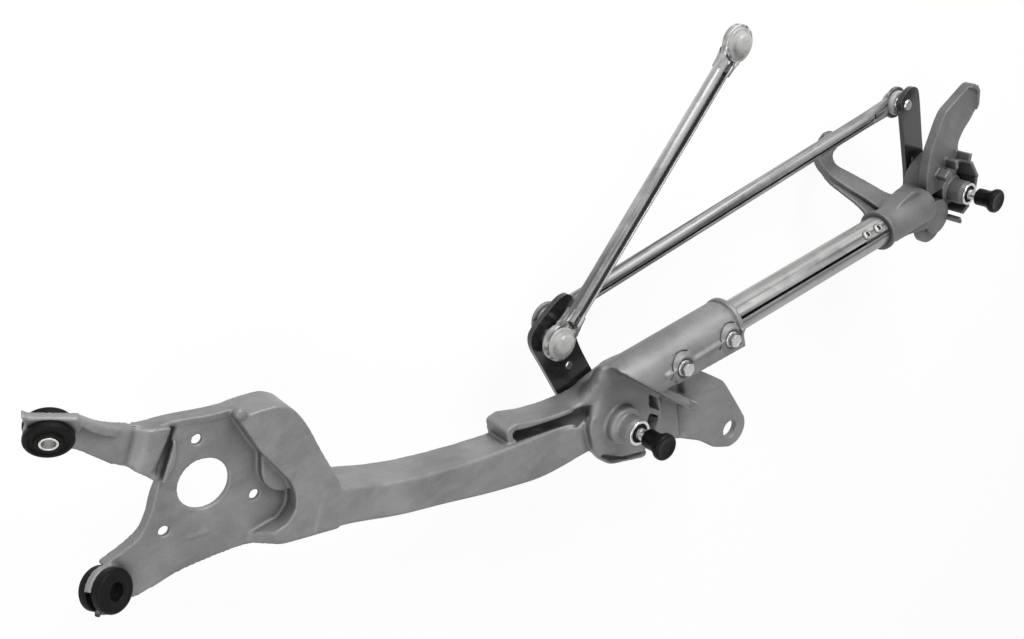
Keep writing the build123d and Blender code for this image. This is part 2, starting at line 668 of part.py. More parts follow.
# Motor link, drawn along its own x axis and then turned into place
with BuildPart() as motor_link:
    with BuildSketch(Plane.YZ.offset(EYE_R - 2)):
        RectangleRounded(ROD_WIDTH, ROD_HEIGHT, 3.4)
    extrude(amount=MOTOR_LINK_LENGTH - 2 * EYE_R + 4)
    for place in (0, MOTOR_LINK_LENGTH):
        inward = 1 if place == 0 else -1
        with BuildSketch(Plane.XY.offset(-ROD_HEIGHT / 2)):
            with BuildLine():
                for edge in (-1, 1):
                    Bezier(
                        (place + inward * 6, edge * 13.3), (place + inward * 11.5, edge * 10.6),
                        (place + inward * 16, edge * ROD_WIDTH / 2),
                        (place + inward * 26, edge * ROD_WIDTH / 2),
                    )
                Line((place + inward * 26, -ROD_WIDTH / 2), (place + inward * 26, ROD_WIDTH / 2))
                Line((place + inward * 6, -13.3), (place + inward * 6, 13.3))
            make_face()
            with Locations((place, 0)):
                Circle(EYE_R)
        extrude(amount=ROD_HEIGHT)
    with BuildSketch(Plane.YZ.offset(-EYE_R - 5)):
        RectangleRounded(ROD_WIDTH - 2 * ROD_SHEET, ROD_HEIGHT - 2 * ROD_SHEET, 1.6)
    extrude(amount=MOTOR_LINK_LENGTH + 2 * EYE_R + 10, mode=Mode.SUBTRACT)
    with BuildSketch(Plane.XY.offset(ROD_HEIGHT / 2)):
        with Locations((MOTOR_LINK_LENGTH / 2, 0)):
            Rectangle(MOTOR_LINK_LENGTH, 2.4)
    extrude(amount=-ROD_HEIGHT / 2, mode=Mode.SUBTRACT)
    for place in (0, MOTOR_LINK_LENGTH):
        with BuildSketch(Plane.XY.offset(EYE_T / 2)):
            with Locations((place, 0)):
                Circle(EYE_R + 3)
        extrude(amount=ROD_HEIGHT, mode=Mode.SUBTRACT)
        with BuildSketch(Plane.XY.offset(-EYE_T / 2)):
            with Locations((place, 0)):
                Circle(EYE_R + 3)
        extrude(amount=-ROD_HEIGHT, mode=Mode.SUBTRACT)
        with BuildSketch(Plane.XY.offset(-EYE_T / 2)):
            with Locations((place, 0)):
                Circle(EYE_R)
                Circle(CUP_R + SEAT_CLEARANCE, mode=Mode.SUBTRACT)
        extrude(amount=EYE_T)
        with BuildSketch(Plane.XY.offset(-ROD_HEIGHT)):
            with Locations((place, 0)):
                Circle(CUP_R + SEAT_CLEARANCE)
        extrude(amount=2 * ROD_HEIGHT, mode=Mode.SUBTRACT)
motor_place = Location((MOTOR_PIN[0], MOTOR_PIN[1], MOTOR_BALL_Z), (0, 0, MOTOR_LINK_ANGLE))
save(motor_link.part.moved(motor_place), "motor_link_rod")
save(cup(1).moved(motor_place), "motor_link_near_cup")
save(cup(1).moved(motor_place * Location((MOTOR_LINK_LENGTH, 0, 0))), "motor_link_free_cup")

# Tie link between the two levers, drawn along its own x axis and then leant and moved into place
TIE_RISE = FAR_LINK_BALL_Z - NEAR_LINK_BALL_Z
TIE_LENGTH = math.hypot(SPINDLE_SPACING, TIE_RISE)
with BuildPart() as tie_link:
    with BuildSketch(Plane.YZ.offset(46)):
        RectangleRounded(TIE_WIDTH, TIE_HEIGHT, 5)
    extrude(amount=TIE_LENGTH - 92)
    for place in (0, TIE_LENGTH):
        inward = 1 if place == 0 else -1
        with BuildSketch(Plane.YZ.offset(place + inward * 46)):
            RectangleRounded(TIE_WIDTH, TIE_HEIGHT, 5)
        with BuildSketch(Plane.YZ.offset(place + inward * 10)):
            RectangleRounded(TIE_WIDTH + 4, EYE_T, 1.4)
        loft()
    with BuildSketch(Plane.YZ.offset(30)):
        RectangleRounded(TIE_WIDTH - 2 * ROD_SHEET, TIE_HEIGHT - 2 * ROD_SHEET, 3.2)
    extrude(amount=TIE_LENGTH - 60, mode=Mode.SUBTRACT)
    with BuildSketch(Plane.XY.offset(TIE_HEIGHT / 2)):
        with Locations((TIE_LENGTH / 2, -1.5)):
            SlotOverall(TIE_LENGTH - 70, 1.8)
    extrude(amount=-TIE_HEIGHT / 2, mode=Mode.SUBTRACT)
    for place in (0, TIE_LENGTH):
        with BuildSketch(Plane.XY.offset(EYE_T / 2)):
            with Locations((place, 0)):
                Circle(EYE_R + 1)
        extrude(amount=TIE_HEIGHT, mode=Mode.SUBTRACT)
        with BuildSketch(Plane.XY.offset(-EYE_T / 2)):
            with Locations((place, 0)):
                Circle(EYE_R + 1)
        extrude(amount=-TIE_HEIGHT, mode=Mode.SUBTRACT)
        with BuildSketch(Plane.XY.offset(-EYE_T / 2)):
            with Locations((place, 0)):
                Circle(EYE_R)
        extrude(amount=EYE_T)
        with BuildSketch(Plane.XY.offset(-TIE_HEIGHT)):
            with Locations((place, 0)):
                Circle(CUP_R + SEAT_CLEARANCE)
        extrude(amount=2 * TIE_HEIGHT, mode=Mode.SUBTRACT)
tie_lean = -math.degrees(math.atan2(TIE_RISE, SPINDLE_SPACING))
tie_place = Location((LINK_PIN[0], LINK_PIN[1], NEAR_LINK_BALL_Z), (0, tie_lean, 0))
save(tie_link.part.moved(tie_place), "tie_link_rod")
save(cup(-1).moved(tie_place), "tie_link_near_cup")
save(cup(-1).moved(tie_place * Location((TIE_LENGTH, 0, 0))), "tie_link_far_cup")

# Frame tube with its open seam
TUBE_LENGTH = (TUBE_END - TUBE_START) / math.cos(math.radians(TUBE_ANGLE))
with BuildPart() as frame_tube:
    with BuildSketch(tube_plane(TUBE_START)):
        Circle(TUBE_R)
        Circle(TUBE_R - TUBE_WALL, mode=Mode.SUBTRACT)
        with Locations(around_tube(SEAM_ANGLE, TUBE_R)):
            Rectangle(8, SEAM_WIDTH, rotation=SEAM_ANGLE - 90, mode=Mode.SUBTRACT)
    extrude(amount=TUBE_LENGTH)
    for station in BOLT_STATIONS:
        with BuildSketch(Plane.XY.offset(10)):
            with Locations(bolt_point(station)):
                Circle(BOLT_R + SEAT_CLEARANCE)
        extrude(amount=-28, mode=Mode.SUBTRACT)
    for station in RIVET_STATIONS:
        with BuildSketch(across_tube(station, RIVET_ANGLE)):
            Circle(RIVET_R + SEAT_CLEARANCE)
        extrude(amount=30, mode=Mode.SUBTRACT)
save(frame_tube.part, "frame_tube")

# Screws holding the tube in the sleeve
for number, station in enumerate(BOLT_STATIONS, start=1):
    with BuildPart() as screw:
        with BuildSketch(Plane.XY.offset(BOLT_SEAT_Z)):
            Circle(BOLT_HEAD_AF / 2 + 1.6)
        extrude(amount=1.2)
        with BuildSketch(Plane.XY.offset(BOLT_SEAT_Z + 1.2)):
            RegularPolygon(BOLT_HEAD_AF / 2, 6, major_radius=False)
        extrude(amount=BOLT_HEAD_T)
        with BuildSketch(Plane.XY.offset(BOLT_SEAT_Z + 1.2 + BOLT_HEAD_T)):
            Circle(BOLT_HEAD_AF / 2 - 1.2)
        extrude(amount=-0.6, mode=Mode.SUBTRACT)
        with BuildSketch(Plane.XY.offset(BOLT_SEAT_Z)):
            Circle(BOLT_R)
        extrude(amount=-18)
        chamfer(screw.faces().sort_by(Axis.Z)[0].edges(), 0.8)
    save(screw.part.moved(Location(bolt_point(station) + (0,))), f"sleeve_screw_{number}")

# Rivets fixing the tube to the far bracket
for number, station in enumerate(RIVET_STATIONS, start=1):
    across = across_tube(station, RIVET_ANGLE)
    with BuildPart() as rivet:
        with BuildSketch(across.offset(TUBE_R - 8)):
            Circle(RIVET_R)
        extrude(amount=8.2)
        with BuildSketch(across.offset(TUBE_R + 0.15)):
            Circle(4.4)
        extrude(amount=1.6, taper=25)
        with BuildSketch(across.offset(TUBE_R + 1.75)):
            Circle(1.6)
        extrude(amount=-1.0, mode=Mode.SUBTRACT)
    save(rivet.part, f"tube_rivet_{number}")

# Far bearing bracket
BODY_OUTLINE = from_far([
    (-95, -8), (-73, -10), (-47, -18), (-33, -20), (-35, -6), (-41, 8), (-49, 20), (-59, 30),
    (-80, 27), (-95, 22),
])
BODY_FOOT = from_far([
    (-53, -12), (-21, -16), (-21, 14), (-37, 16), (-55, 10),
])
WING_OUTLINE = from_far([
    (-37, 8), (-34, 30), (-28, 50), (-10, 74), (-3, 81), (8, 84), (27, 90), (35, 92), (43, 88), (46, 81),
    (44, 67), (32, 57), (21, 51), (12, 41), (15, 20), (5, 6),
])
LOBE_CENTRE = (SPINDLE_SPACING - 31.5, -21.0)
LOBE_R = 18.5
LEG_EAR = (SPINDLE_SPACING - 58.0, 58.5, -107.5)
LEG_EAR_R = 9.5
LEG_T = 8.5
LEG_HOLE_R = 4.2
LEG_OUTLINE = [
    (-22, 0.6), (-29, -11.4), (-30.3, -19.4), (-29.7, -32.4), (-24.6, -48.2),
    (-18.8, -63.1), (-14, -79.4), (-10, -94.4), (12, -96.4),
    (14, -81.4), (5, -70.9), (-1.8, -54.1), (-10.5, -34.9), (-16.2, -23.8), (-13.9, -16.1),
    (-7.1, -11.0), (1, -9.4), (7, -1.4), (-2, 6.6),
]
LEG_FLANGE_T = 3.0
LEG_FLANGE = [
    (-28, -16), (-31, -24), (-31.5, -34), (-28, -50), (-25, -63), (-25, -76), (-30, -90), (-33, -97),
    (-6, -97),
    (-8, -76), (-14, -60), (-22, -38), (-24, -22),
]
FIN_SET = [
    ((-6, 31), (4, 9), -36, -8, 0),
    ((10, 32), (3.5, 7), -36, -5, -20),
    ((-18, 25), (9, 7), -36, -9, 30),
    ((-7, -26), (3, 7), -36, -5, 20),
    ((2, -18), (11, 4), -36, -5, 20),
    ((21, 13), (3.5, 22), -36, -8, 25),
    ((22, -4), (3.5, 14), -36, -8, -15),
]
with BuildPart() as far_bracket:
    with BuildSketch(tube_plane(TUBE_END - 28)):
        Circle(TUBE_R - TUBE_WALL - SEAT_CLEARANCE)
    extrude(amount=30)
    with BuildSketch(tube_plane(TUBE_END + 0.2)):
        Circle(SHOULDER_R)
    extrude(amount=SHOULDER_T)
    with BuildSketch(tube_plane(TUBE_END + 5)):
        Circle(FAR_BODY_R)
    extrude(amount=FAR_BODY_LENGTH)
    prism(BODY_OUTLINE, -14, 16, reach=7)
    prism(BODY_FOOT, -29, 17, reach=5)
    with BuildSketch(Plane.XY.offset(BORE_REAR_Z + 4)):
        with Locations((SPINDLE_SPACING, 0)):
            Circle(30)
    extrude(amount=18)
    with BuildSketch(Plane.XY.offset(BORE_REAR_Z)):
        with Locations((SPINDLE_SPACING, 0)):
            Circle(REAR_BOSS_R)
    extrude(amount=30)
    prism(WING_OUTLINE, -20, 9, reach=6)
    with BuildSketch(Plane.XY.offset(-20)):
        with Locations(LOBE_CENTRE):
            Circle(LOBE_R)
    extrude(amount=-6)
    with BuildSketch(Plane.XY.offset(-30)):
        with Locations((SPINDLE_SPACING - 26, -16)):
            Circle(16.5)
    extrude(amount=14)
    for place, size, low, high, turn in FIN_SET:
        with BuildSketch(Plane.XY.offset(low)):
            with Locations(from_far([place])[0]):
                Rectangle(size[0], size[1], rotation=turn)
        extrude(amount=high - low)
    # Leg reaching back to its fixing ear
    leg_plane = Plane(origin=LEG_EAR, x_dir=(1, 0, 0), z_dir=(0, 0.78, 0.62))
    with BuildSketch(leg_plane):
        with BuildLine():
            soft_outline(LEG_OUTLINE, 5)
        make_face()
        Circle(LEG_EAR_R)
    extrude(amount=-LEG_T)
    with BuildSketch(leg_plane.offset(LEG_FLANGE_T - LEG_T)):
        with BuildLine():
            soft_outline(LEG_FLANGE, 5)
        make_face()
    extrude(amount=-LEG_FLANGE_T)
    with BuildSketch(leg_plane):
        Circle(LEG_EAR_R - 1)
    extrude(amount=2.5)
    with BuildSketch(leg_plane.offset(-LEG_T)):
        with BuildLine():
            Polyline(
                (-24, -24), (-24, -36), (-18, -52), (-12, -66), (-5, -62), (-10, -46), (-18, -28), close=True,
            )
        make_face()
    extrude(amount=LEG_T / 2, mode=Mode.SUBTRACT)
    # Nose and collar
    with BuildSketch(Plane.XZ) as nose:
        with BuildLine():
            Polyline(
                (SPINDLE_SPACING, NOSE_Z), (SPINDLE_SPACING + NOSE_TIP_R, NOSE_Z),
                (SPINDLE_SPACING + NOSE_R, NOSE_Z - 4),
                (SPINDLE_SPACING + NOSE_R, NOSE_BASE_Z), (SPINDLE_SPACING + COLLAR_R, NOSE_BASE_Z - 0.6),
                (SPINDLE_SPACING + COLLAR_R, BORE_REAR_Z + 10),
                (SPINDLE_SPACING, BORE_REAR_Z + 10), close=True,
            )
        make_face()
    revolve(axis=Axis((SPINDLE_SPACING, 0, 0), (0, 0, 1)))
    # Holes
    with BuildSketch(Plane.XY.offset(5)):
        with Locations((SPINDLE_SPACING, 0)):
            Circle(BUSH_R + SEAT_CLEARANCE)
    extrude(amount=-70, mode=Mode.SUBTRACT)
    with BuildSketch(leg_plane):
        Circle(LEG_HOLE_R)
    extrude(amount=14, both=True, mode=Mode.SUBTRACT)
    for station in RIVET_STATIONS:
        with BuildSketch(across_tube(station, RIVET_ANGLE).offset(TUBE_R - 8.5)):
            Circle(RIVET_R + SEAT_CLEARANCE)
        extrude(amount=14, mode=Mode.SUBTRACT)
save(far_bracket.part, "far_bracket")

# Rubber grommets and the sleeve in the upper one
for side, centre, axis, half in (
    ("upper", UPPER_EAR, UPPER_AXIS, UPPER_GROMMET_HALF),
    ("lower", LOWER_EAR, LOWER_AXIS, LOWER_GROMMET_HALF),
):
    half_ear = EAR_T / 2 + SEAT_CLEARANCE
    with BuildPart() as grommet:
        with BuildSketch(Plane.XZ):
            with BuildLine():
                Polyline(
                    (GROMMET_BORE_R, -half), (GROMMET_R - 2.5, -half), (GROMMET_R, -half + 1.5),
                    (GROMMET_R, -half_ear), (GROMMET_WAIST_R, -half_ear), (GROMMET_WAIST_R, half_ear),
                    (GROMMET_R, half_ear), (GROMMET_R, half - 1.5), (GROMMET_R - 2.5, half),
                    (GROMMET_BORE_R, half),
                    close=True,
                )
            make_face()
        revolve(axis=Axis.Z)
    tilt = Plane(origin=centre, z_dir=axis)
    save(grommet.part.moved(tilt.location), side + "_grommet")
    if side == "upper":
        with BuildPart() as sleeve:
            with BuildSketch(Plane.XY.offset(-half - 0.3)):
                Circle(GROMMET_BORE_R - SEAT_CLEARANCE)
                Circle(GROMMET_BORE_R - 1.2, mode=Mode.SUBTRACT)
            extrude(amount=2 * half + 0.6)
        save(sleeve.part.moved(tilt.location), "upper_grommet_sleeve")
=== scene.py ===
"""Looks of a windscreen wiper linkage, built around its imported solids.

The frame is that of the solids, in metres: X runs from the driver's spindle to the far spindle, Y from the
spindles to the motor plate's top, and Z along the spindles to their tips. Outlines, profiles and stations
are typed in millimetres and turned into metres where their shape is made.
"""

import logging
import math
from collections.abc import Iterable, Sequence
from dataclasses import dataclass
from enum import StrEnum, auto
from functools import cache

import bmesh
import bpy
from mathutils import Matrix, Vector


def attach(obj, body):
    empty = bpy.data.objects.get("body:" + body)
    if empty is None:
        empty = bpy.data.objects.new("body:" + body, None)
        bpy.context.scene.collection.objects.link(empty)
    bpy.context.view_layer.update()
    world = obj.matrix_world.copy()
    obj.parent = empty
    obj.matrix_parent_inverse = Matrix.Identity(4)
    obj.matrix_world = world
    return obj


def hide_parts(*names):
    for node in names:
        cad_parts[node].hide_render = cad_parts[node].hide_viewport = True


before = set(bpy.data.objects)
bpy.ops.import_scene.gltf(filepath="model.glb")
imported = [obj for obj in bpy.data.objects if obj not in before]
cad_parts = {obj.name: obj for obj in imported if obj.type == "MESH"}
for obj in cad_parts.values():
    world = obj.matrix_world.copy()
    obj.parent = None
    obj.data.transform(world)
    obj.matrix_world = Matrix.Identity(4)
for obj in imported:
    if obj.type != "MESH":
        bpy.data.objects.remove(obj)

MM = 0.001
Socket = bpy.types.NodeSocket
Sockets = bpy.types.NodeOutputs
Value = float | Sequence[float]
Mesh = bpy.types.Mesh
Shape = bmesh.types.BMesh
Corner = bmesh.types.BMVert
Edge = bmesh.types.BMEdge
Triple = tuple[float, float, float]
Pair = tuple[float, float]
Outline = Sequence[Pair]
HERE = Matrix.Identity(4)
UPWARDS = (0.0, 0.0, 1.0)
log = logging.getLogger("wiper_linkage")


class Slot(StrEnum):
    """Material slots of the record, each written there as its name in small letters."""

    CAST_ALLOY = auto()
    TUBE_STEEL = auto()
    ROD_STEEL = auto()
    TIE_STEEL = auto()
    LEVER_STEEL = auto()
    SPINDLE_STEEL = auto()
    STUD_STEEL = auto()
    SCREW_STEEL = auto()
    RIVET_STEEL = auto()
    BUSH_BRONZE = auto()
    WASHER_STEEL = auto()
    SEAL_RUBBER = auto()
    GROMMET_RUBBER = auto()
    NOSE_RING = auto()
    CAP_PLASTIC = auto()
    CUP_PLASTIC = auto()
    SLEEVE_STEEL = auto()


def tint(colour: Triple, share: float) -> tuple[float, ...]:
    """A colour made darker or lighter by a share, with its full cover."""
    return (*(min(part * share, 1.0) for part in colour), 1.0)


@dataclass
class Nodes:
    """Lays out nodes in a tree."""

    tree: bpy.types.NodeTree

    def put(self, source: Socket | Value, end: Socket) -> None:
        """Links a socket to an input, or sets the input to a value.

        Args:
            source: socket or value.
            end: the input.
        """
        if isinstance(source, Socket):
            self.tree.links.new(source, end)
        else:
            end.default_value = source

    def add(self, kind: str, inputs: dict[str | int, Socket | Value], **properties: object) -> Sockets:
        """Adds a node.

        Args:
            kind: identifier of the node type.
            inputs: sockets and values for the node's inputs.
            **properties: properties of the node.

        Returns:
            The node's outputs.
        """
        node = self.tree.nodes.new(kind)
        for name, value in properties.items():
            setattr(node, name, value)
        for name, source in inputs.items():
            self.put(source, node.inputs[name])
        return node.outputs

    def span(self, value: Socket, low: float, high: float, start: float, end: float) -> Socket:
        """Maps a value from the span low to high to the span start to end, and clamps it."""
        ends = {"From Min": low, "From Max": high, "To Min": start, "To Max": end}
        return self.add("ShaderNodeMapRange", {"Value": value, **ends}, clamp=True)["Result"]

    def maths(self, operation: str, first: Socket, second: Socket | float) -> Socket:
        """The result of an arithmetic operation on two values."""
        return self.add("ShaderNodeMath", {0: first, 1: second}, operation=operation)[0]

    def times(self, first: Socket, second: Socket | float) -> Socket:
        """The product of two values."""
        return self.maths("MULTIPLY", first, second)

    def seen_directly(self) -> Socket:
        """Gives 1 for rays of the camera, of reflections and of clear materials, and 0 for others.

        Returns:
            The value.
        """
        path = self.add("ShaderNodeLightPath", {})
        shining = self.maths("MAXIMUM", path["Is Camera Ray"], path["Is Glossy Ray"])
        return self.maths("MAXIMUM", shining, path["Is Transmission Ray"])


class Bench(Nodes):
    """Lays out the nodes of one material on the piece's own object coordinates."""

    def __init__(self, name: str, colour: Triple) -> None:
        """Starts an empty material with its shader and output.

        Args:
            name: name of the material.
            colour: its main colour.
        """
        self.colour = colour
        self.material = bpy.data.materials.new(name)
        self.material.use_nodes = True
        super().__init__(self.material.node_tree)
        self.tree.nodes.clear()
        self.shader = self.tree.nodes.new("ShaderNodeBsdfPrincipled")
        self.output = self.tree.nodes.new("ShaderNodeOutputMaterial").inputs["Surface"]
        self.put(self.shader.outputs["BSDF"], self.output)
        self.coordinates = self.add("ShaderNodeTexCoord", {})["Object"]

    def feed(self, name: str, source: Socket | Value) -> None:
        """Sets or links one of the shader's inputs."""
        self.put(source, self.shader.inputs[name])

    def noise(
        self, repeats: float | Triple, turn: Triple = (0, 0, 0), detail: float = 2.0, roughness: float = 0.5,
        warp: float = 0.0,
    ) -> Socket:
        """Noise between 0 and 1 on turned and stretched object coordinates.

        Args:
            repeats: pattern repeats per metre, the same for all axes or one for each turned axis.
            turn: turn of the pattern's axes about X, Y and Z, in degrees.
            detail: number of finer layers.
            roughness: weight of the finer layers.
            warp: distortion of the pattern.

        Returns:
            The noise's value.
        """
        scales = repeats if isinstance(repeats, tuple) else (repeats,) * 3
        way = {"Vector": self.coordinates, "Rotation": [math.radians(angle) for angle in turn]}
        along = self.add("ShaderNodeVectorRotate", way, rotation_type="EULER_XYZ", invert=True)[0]
        place = self.add("ShaderNodeVectorMath", {0: along, 1: scales}, operation="MULTIPLY")[0]
        look = {"Scale": 1.0, "Detail": detail, "Roughness": roughness, "Distortion": warp}
        return self.add("ShaderNodeTexNoise", {"Vector": place, **look})["Fac"]

    def weighed(self, *parts: tuple[Socket, float]) -> Socket:
        """Adds values up by weight.

        Args:
            *parts: each value with its weight.

        Returns:
            The sum.
        """
        total, *others = (self.times(value, weight) for value, weight in parts)
        for other in others:
            total = self.maths("ADD", total, other)
        return total

    def tones(self, value: Socket, *stops: Pair) -> Socket:
        """Turns a value into shades of the main colour.

        Args:
            value: value between 0 and 1.
            *stops: places from 0 to 1, each with the share of the colour that it shows.

        Returns:
            The shade.
        """
        node = self.tree.nodes.new("ShaderNodeValToRGB")
        marks = node.color_ramp.elements
        while len(marks) < len(stops):
            marks.new(0.5)
        for mark, (place, share) in zip(marks, stops):
            mark.position = place
            mark.color = tint(self.colour, share)
        self.put(value, node.inputs["Fac"])
        return node.outputs["Color"]

    def layered(self, skin: Socket, *layers: tuple[float | Triple, Socket, float]) -> Socket:
        """Lays colours over a skin, one after another.

        Args:
            skin: colour beneath.
            *layers: each layer's colour or its share of the main one, its mask, and its share at most.

        Returns:
            The joined colour.
        """
        for colour, mask, most in layers:
            shown = tint(colour, 1.0) if isinstance(colour, tuple) else tint(self.colour, colour)
            amount = mask if most == 1.0 else self.times(mask, most)
            ends = {"Factor": amount, "A": skin, "B": shown}
            skin = self.add("ShaderNodeMix", ends, data_type="RGBA")["Result"]
        return skin

    def soft_normal(self, radius: float) -> Socket:
        """Normal of the surface with its edges rounded to a radius."""
        return self.add("ShaderNodeBevel", {"Radius": radius}, samples=6)["Normal"]

    def edges(self, radius: float, start: float = 0.97, full: float = 0.80) -> Socket:
        """Mask that is 1 along edges and 0 on flat surfaces; the finishes use it for worn edges and for
        painted edge highlights.

        Args:
            radius: how far the mask reaches from an edge.
            start: agreement of the rounded and the flat normal where the mask starts.
            full: agreement where the mask is full.

        Returns:
            The mask.
        """
        flat = self.add("ShaderNodeNewGeometry", {})["Normal"]
        normals = {0: self.soft_normal(radius), 1: flat}
        agreement = self.add("ShaderNodeVectorMath", normals, operation="DOT_PRODUCT")["Value"]
        return self.span(agreement, start, full, 0.0, 1.0)

    def hollows(self, reach: float) -> Socket:
        """Mask that is 1 in corners and hollows with walls within reach, and 0 on open surfaces; the
        finishes paint shade into their colour with it.
        """
        openness = self.add("ShaderNodeAmbientOcclusion", {"Distance": reach}, samples=6)["AO"]
        return self.span(openness, 0.85, 0.3, 0.0, 1.0)

    def relief(self, height: Socket, depth: float, strength: float, under: Socket) -> Socket:
        """Normal raised from another by a height pattern, with its depth in metres and its strength."""
        ends = {"Height": height, "Distance": depth, "Strength": strength, "Normal": under}
        return self.add("ShaderNodeBump", ends)["Normal"]


@dataclass(frozen=True)
class Finish:
    """Common ground of every finish: its slot in the record and its colour."""

    name: str
    slot: Slot
    colour: Triple

    def material(self) -> bpy.types.Material:
        """Makes the finish's material.

        Returns:
            The material.
        """
        bench = Bench(self.name, self.colour)
        self.lay(bench)
        return bench.material

    def lay(self, bench: Bench) -> None:
        """Lays out the finish on a material's bench."""
        raise NotImplementedError


@dataclass(frozen=True)
class CastAlloy(Finish):
    """Die-cast aluminium: blasted grey skin with flow marks and pebble, painted shade in its hollows and
    creases, and brighter edges that are partly wear and partly painted highlight.
    """

    metal: float = 0.28
    rough: Pair = (0.40, 0.56)
    edge: float = 2.0 * MM
    flow_turn: float = -4.0

    def lay(self, bench: Bench) -> None:
        """Lays out the blasted casting skin.

        Args:
            bench: the material's bench.
        """
        broad = bench.noise(24)
        patch = bench.noise(60, detail=5.0, roughness=0.62, warp=0.5)
        flow = bench.noise((22, 190, 190), (0, 0, self.flow_turn), detail=3.0, roughness=0.55, warp=0.3)
        speck = bench.noise(700, roughness=0.7)
        pebble = bench.noise(1100, detail=1.0)
        pits = bench.span(bench.noise(330, detail=1.0), 0.70, 0.76, 0.0, 1.0)
        tone = bench.weighed((broad, 0.4), (patch, 0.3), (flow, 0.15), (speck, 0.15))
        # crease and the hollows masks below darken the colour in hollows and creases: painted shade.
        crease = bench.hollows(2.5 * MM)
        # Brighter edges: partly wear, partly a painted highlight along convex edges, kept out of creases.
        bright_edges = bench.times(bench.edges(self.edge, 0.985, 0.88), bench.span(patch, 0.3, 0.7, 0.35, 0.9))
        bright_edges = bench.times(bright_edges, bench.span(crease, 0.0, 0.4, 1.0, 0.0))
        skin = bench.layered(
            bench.tones(tone, (0.36, 0.70), (0.5, 1.0), (0.64, 1.3)),
            (0.35, bench.hollows(30 * MM), 0.7),
            (0.16, bench.hollows(9 * MM), 0.9),
            (0.12, crease, 0.7),
            (0.6, pits, 0.2),
            (2.2, bright_edges, 1.0),
        )
        bench.feed("Base Color", skin)
        bench.feed("Metallic", self.metal)
        uneven = bench.maths("SUBTRACT", patch, bench.times(bright_edges, 0.3))
        bench.feed("Roughness", bench.span(uneven, 0.2, 0.8, *self.rough))
        ground = bench.relief(pebble, 0.07 * MM, 0.7, bench.soft_normal(self.edge))
        ground = bench.relief(patch, 0.35 * MM, 0.5, ground)
        bench.feed("Normal", bench.relief(pits, -0.12 * MM, 0.6, ground))


@dataclass(frozen=True)
class DrawnSteel(Finish):
    """Zinc-coated sheet or tube, drawn along one direction, with zinc patches, long fine lines, painted
    shade in its hollows and brighter edges that are partly wear and partly painted highlight.
    """

    turn: Triple = (0.0, 0.0, 0.0)
    metal: float = 0.6
    rough: Pair = (0.24, 0.42)
    edge: float = 0.5 * MM
    contrast: float = 0.6
    streaks: float = 0.9
    streak_count: float = 330.0

    def lay(self, bench: Bench) -> None:
        """Lays out the drawn and coated steel.

        Args:
            bench: the material's bench.
        """
        lines = bench.noise((9, 520, 520), self.turn, detail=4.0, roughness=0.65)
        fine = bench.noise((40, 2600, 2600), self.turn)
        bloom = bench.noise((45, 70, 70), self.turn, detail=5.0, roughness=0.6, warp=0.8)
        drawn = bench.noise((3, self.streak_count, self.streak_count), self.turn)
        tone = bench.weighed((lines, 0.5), (bloom, 0.5))
        bright_edges = bench.times(bench.edges(self.edge), bench.span(bloom, 0.3, 0.7, 0.3, 0.9))
        skin = bench.layered(
            bench.tones(tone, (0.32, 1 - self.contrast), (0.5, 1.0), (0.68, 1 + self.contrast)),
            (0.28, bench.span(drawn, 0.50, 0.64, 0.0, self.streaks), 1.0),
            (1.7, bench.span(drawn, 0.46, 0.34, 0.0, self.streaks), 1.0),
            # painted shade: darker in hollows within 5 mm
            (0.15, bench.hollows(5 * MM), 0.9),
            # brighter edges: partly wear, partly painted highlight
            (1.6, bright_edges, 1.0),
        )
        bench.feed("Base Color", skin)
        bench.feed("Metallic", self.metal)
        bench.feed("Roughness", bench.span(tone, 0.3, 0.7, *self.rough))
        ground = bench.relief(lines, 0.05 * MM, 0.5, bench.soft_normal(self.edge))
        bench.feed("Normal", bench.relief(fine, 0.02 * MM, 0.4, ground))


@dataclass(frozen=True)
class TurnedSteel(Finish):
    """Bright turned steel: fine rings across the Z axis, faint handling marks, soft edges with a painted
    highlight along them, and painted shade in its hollows.
    """

    metal: float = 0.95
    rough: Pair = (0.16, 0.34)
    edge: float = 0.25 * MM
    ring: float = 2600.0
    # share of painted shade, at most, in hollows
    painted_shade: float = 0.7

    def lay(self, bench: Bench) -> None:
        """Lays out the turned steel.

        Args:
            bench: the material's bench.
        """
        rings = bench.noise((25, 25, self.ring))
        marks = bench.noise(240, detail=4.0, roughness=0.6)
        tone = bench.weighed((rings, 0.5), (marks, 0.5))
        skin = bench.tones(tone, (0.32, 0.78), (0.5, 1.0), (0.68, 1.15))
        # Painted shade darkens hollows within 3 mm; every edge is lightened as a painted highlight.
        painted_shade, bright_edges = bench.hollows(3 * MM), bench.edges(self.edge)
        bench.feed("Base Color", bench.layered(skin, (0.3, painted_shade, self.painted_shade), (1.35, bright_edges, 1.0)))
        bench.feed("Metallic", self.metal)
        bench.feed("Roughness", bench.span(tone, 0.3, 0.7, *self.rough))
        bench.feed("Normal", bench.relief(rings, 0.02 * MM, 0.4, bench.soft_normal(self.edge)))


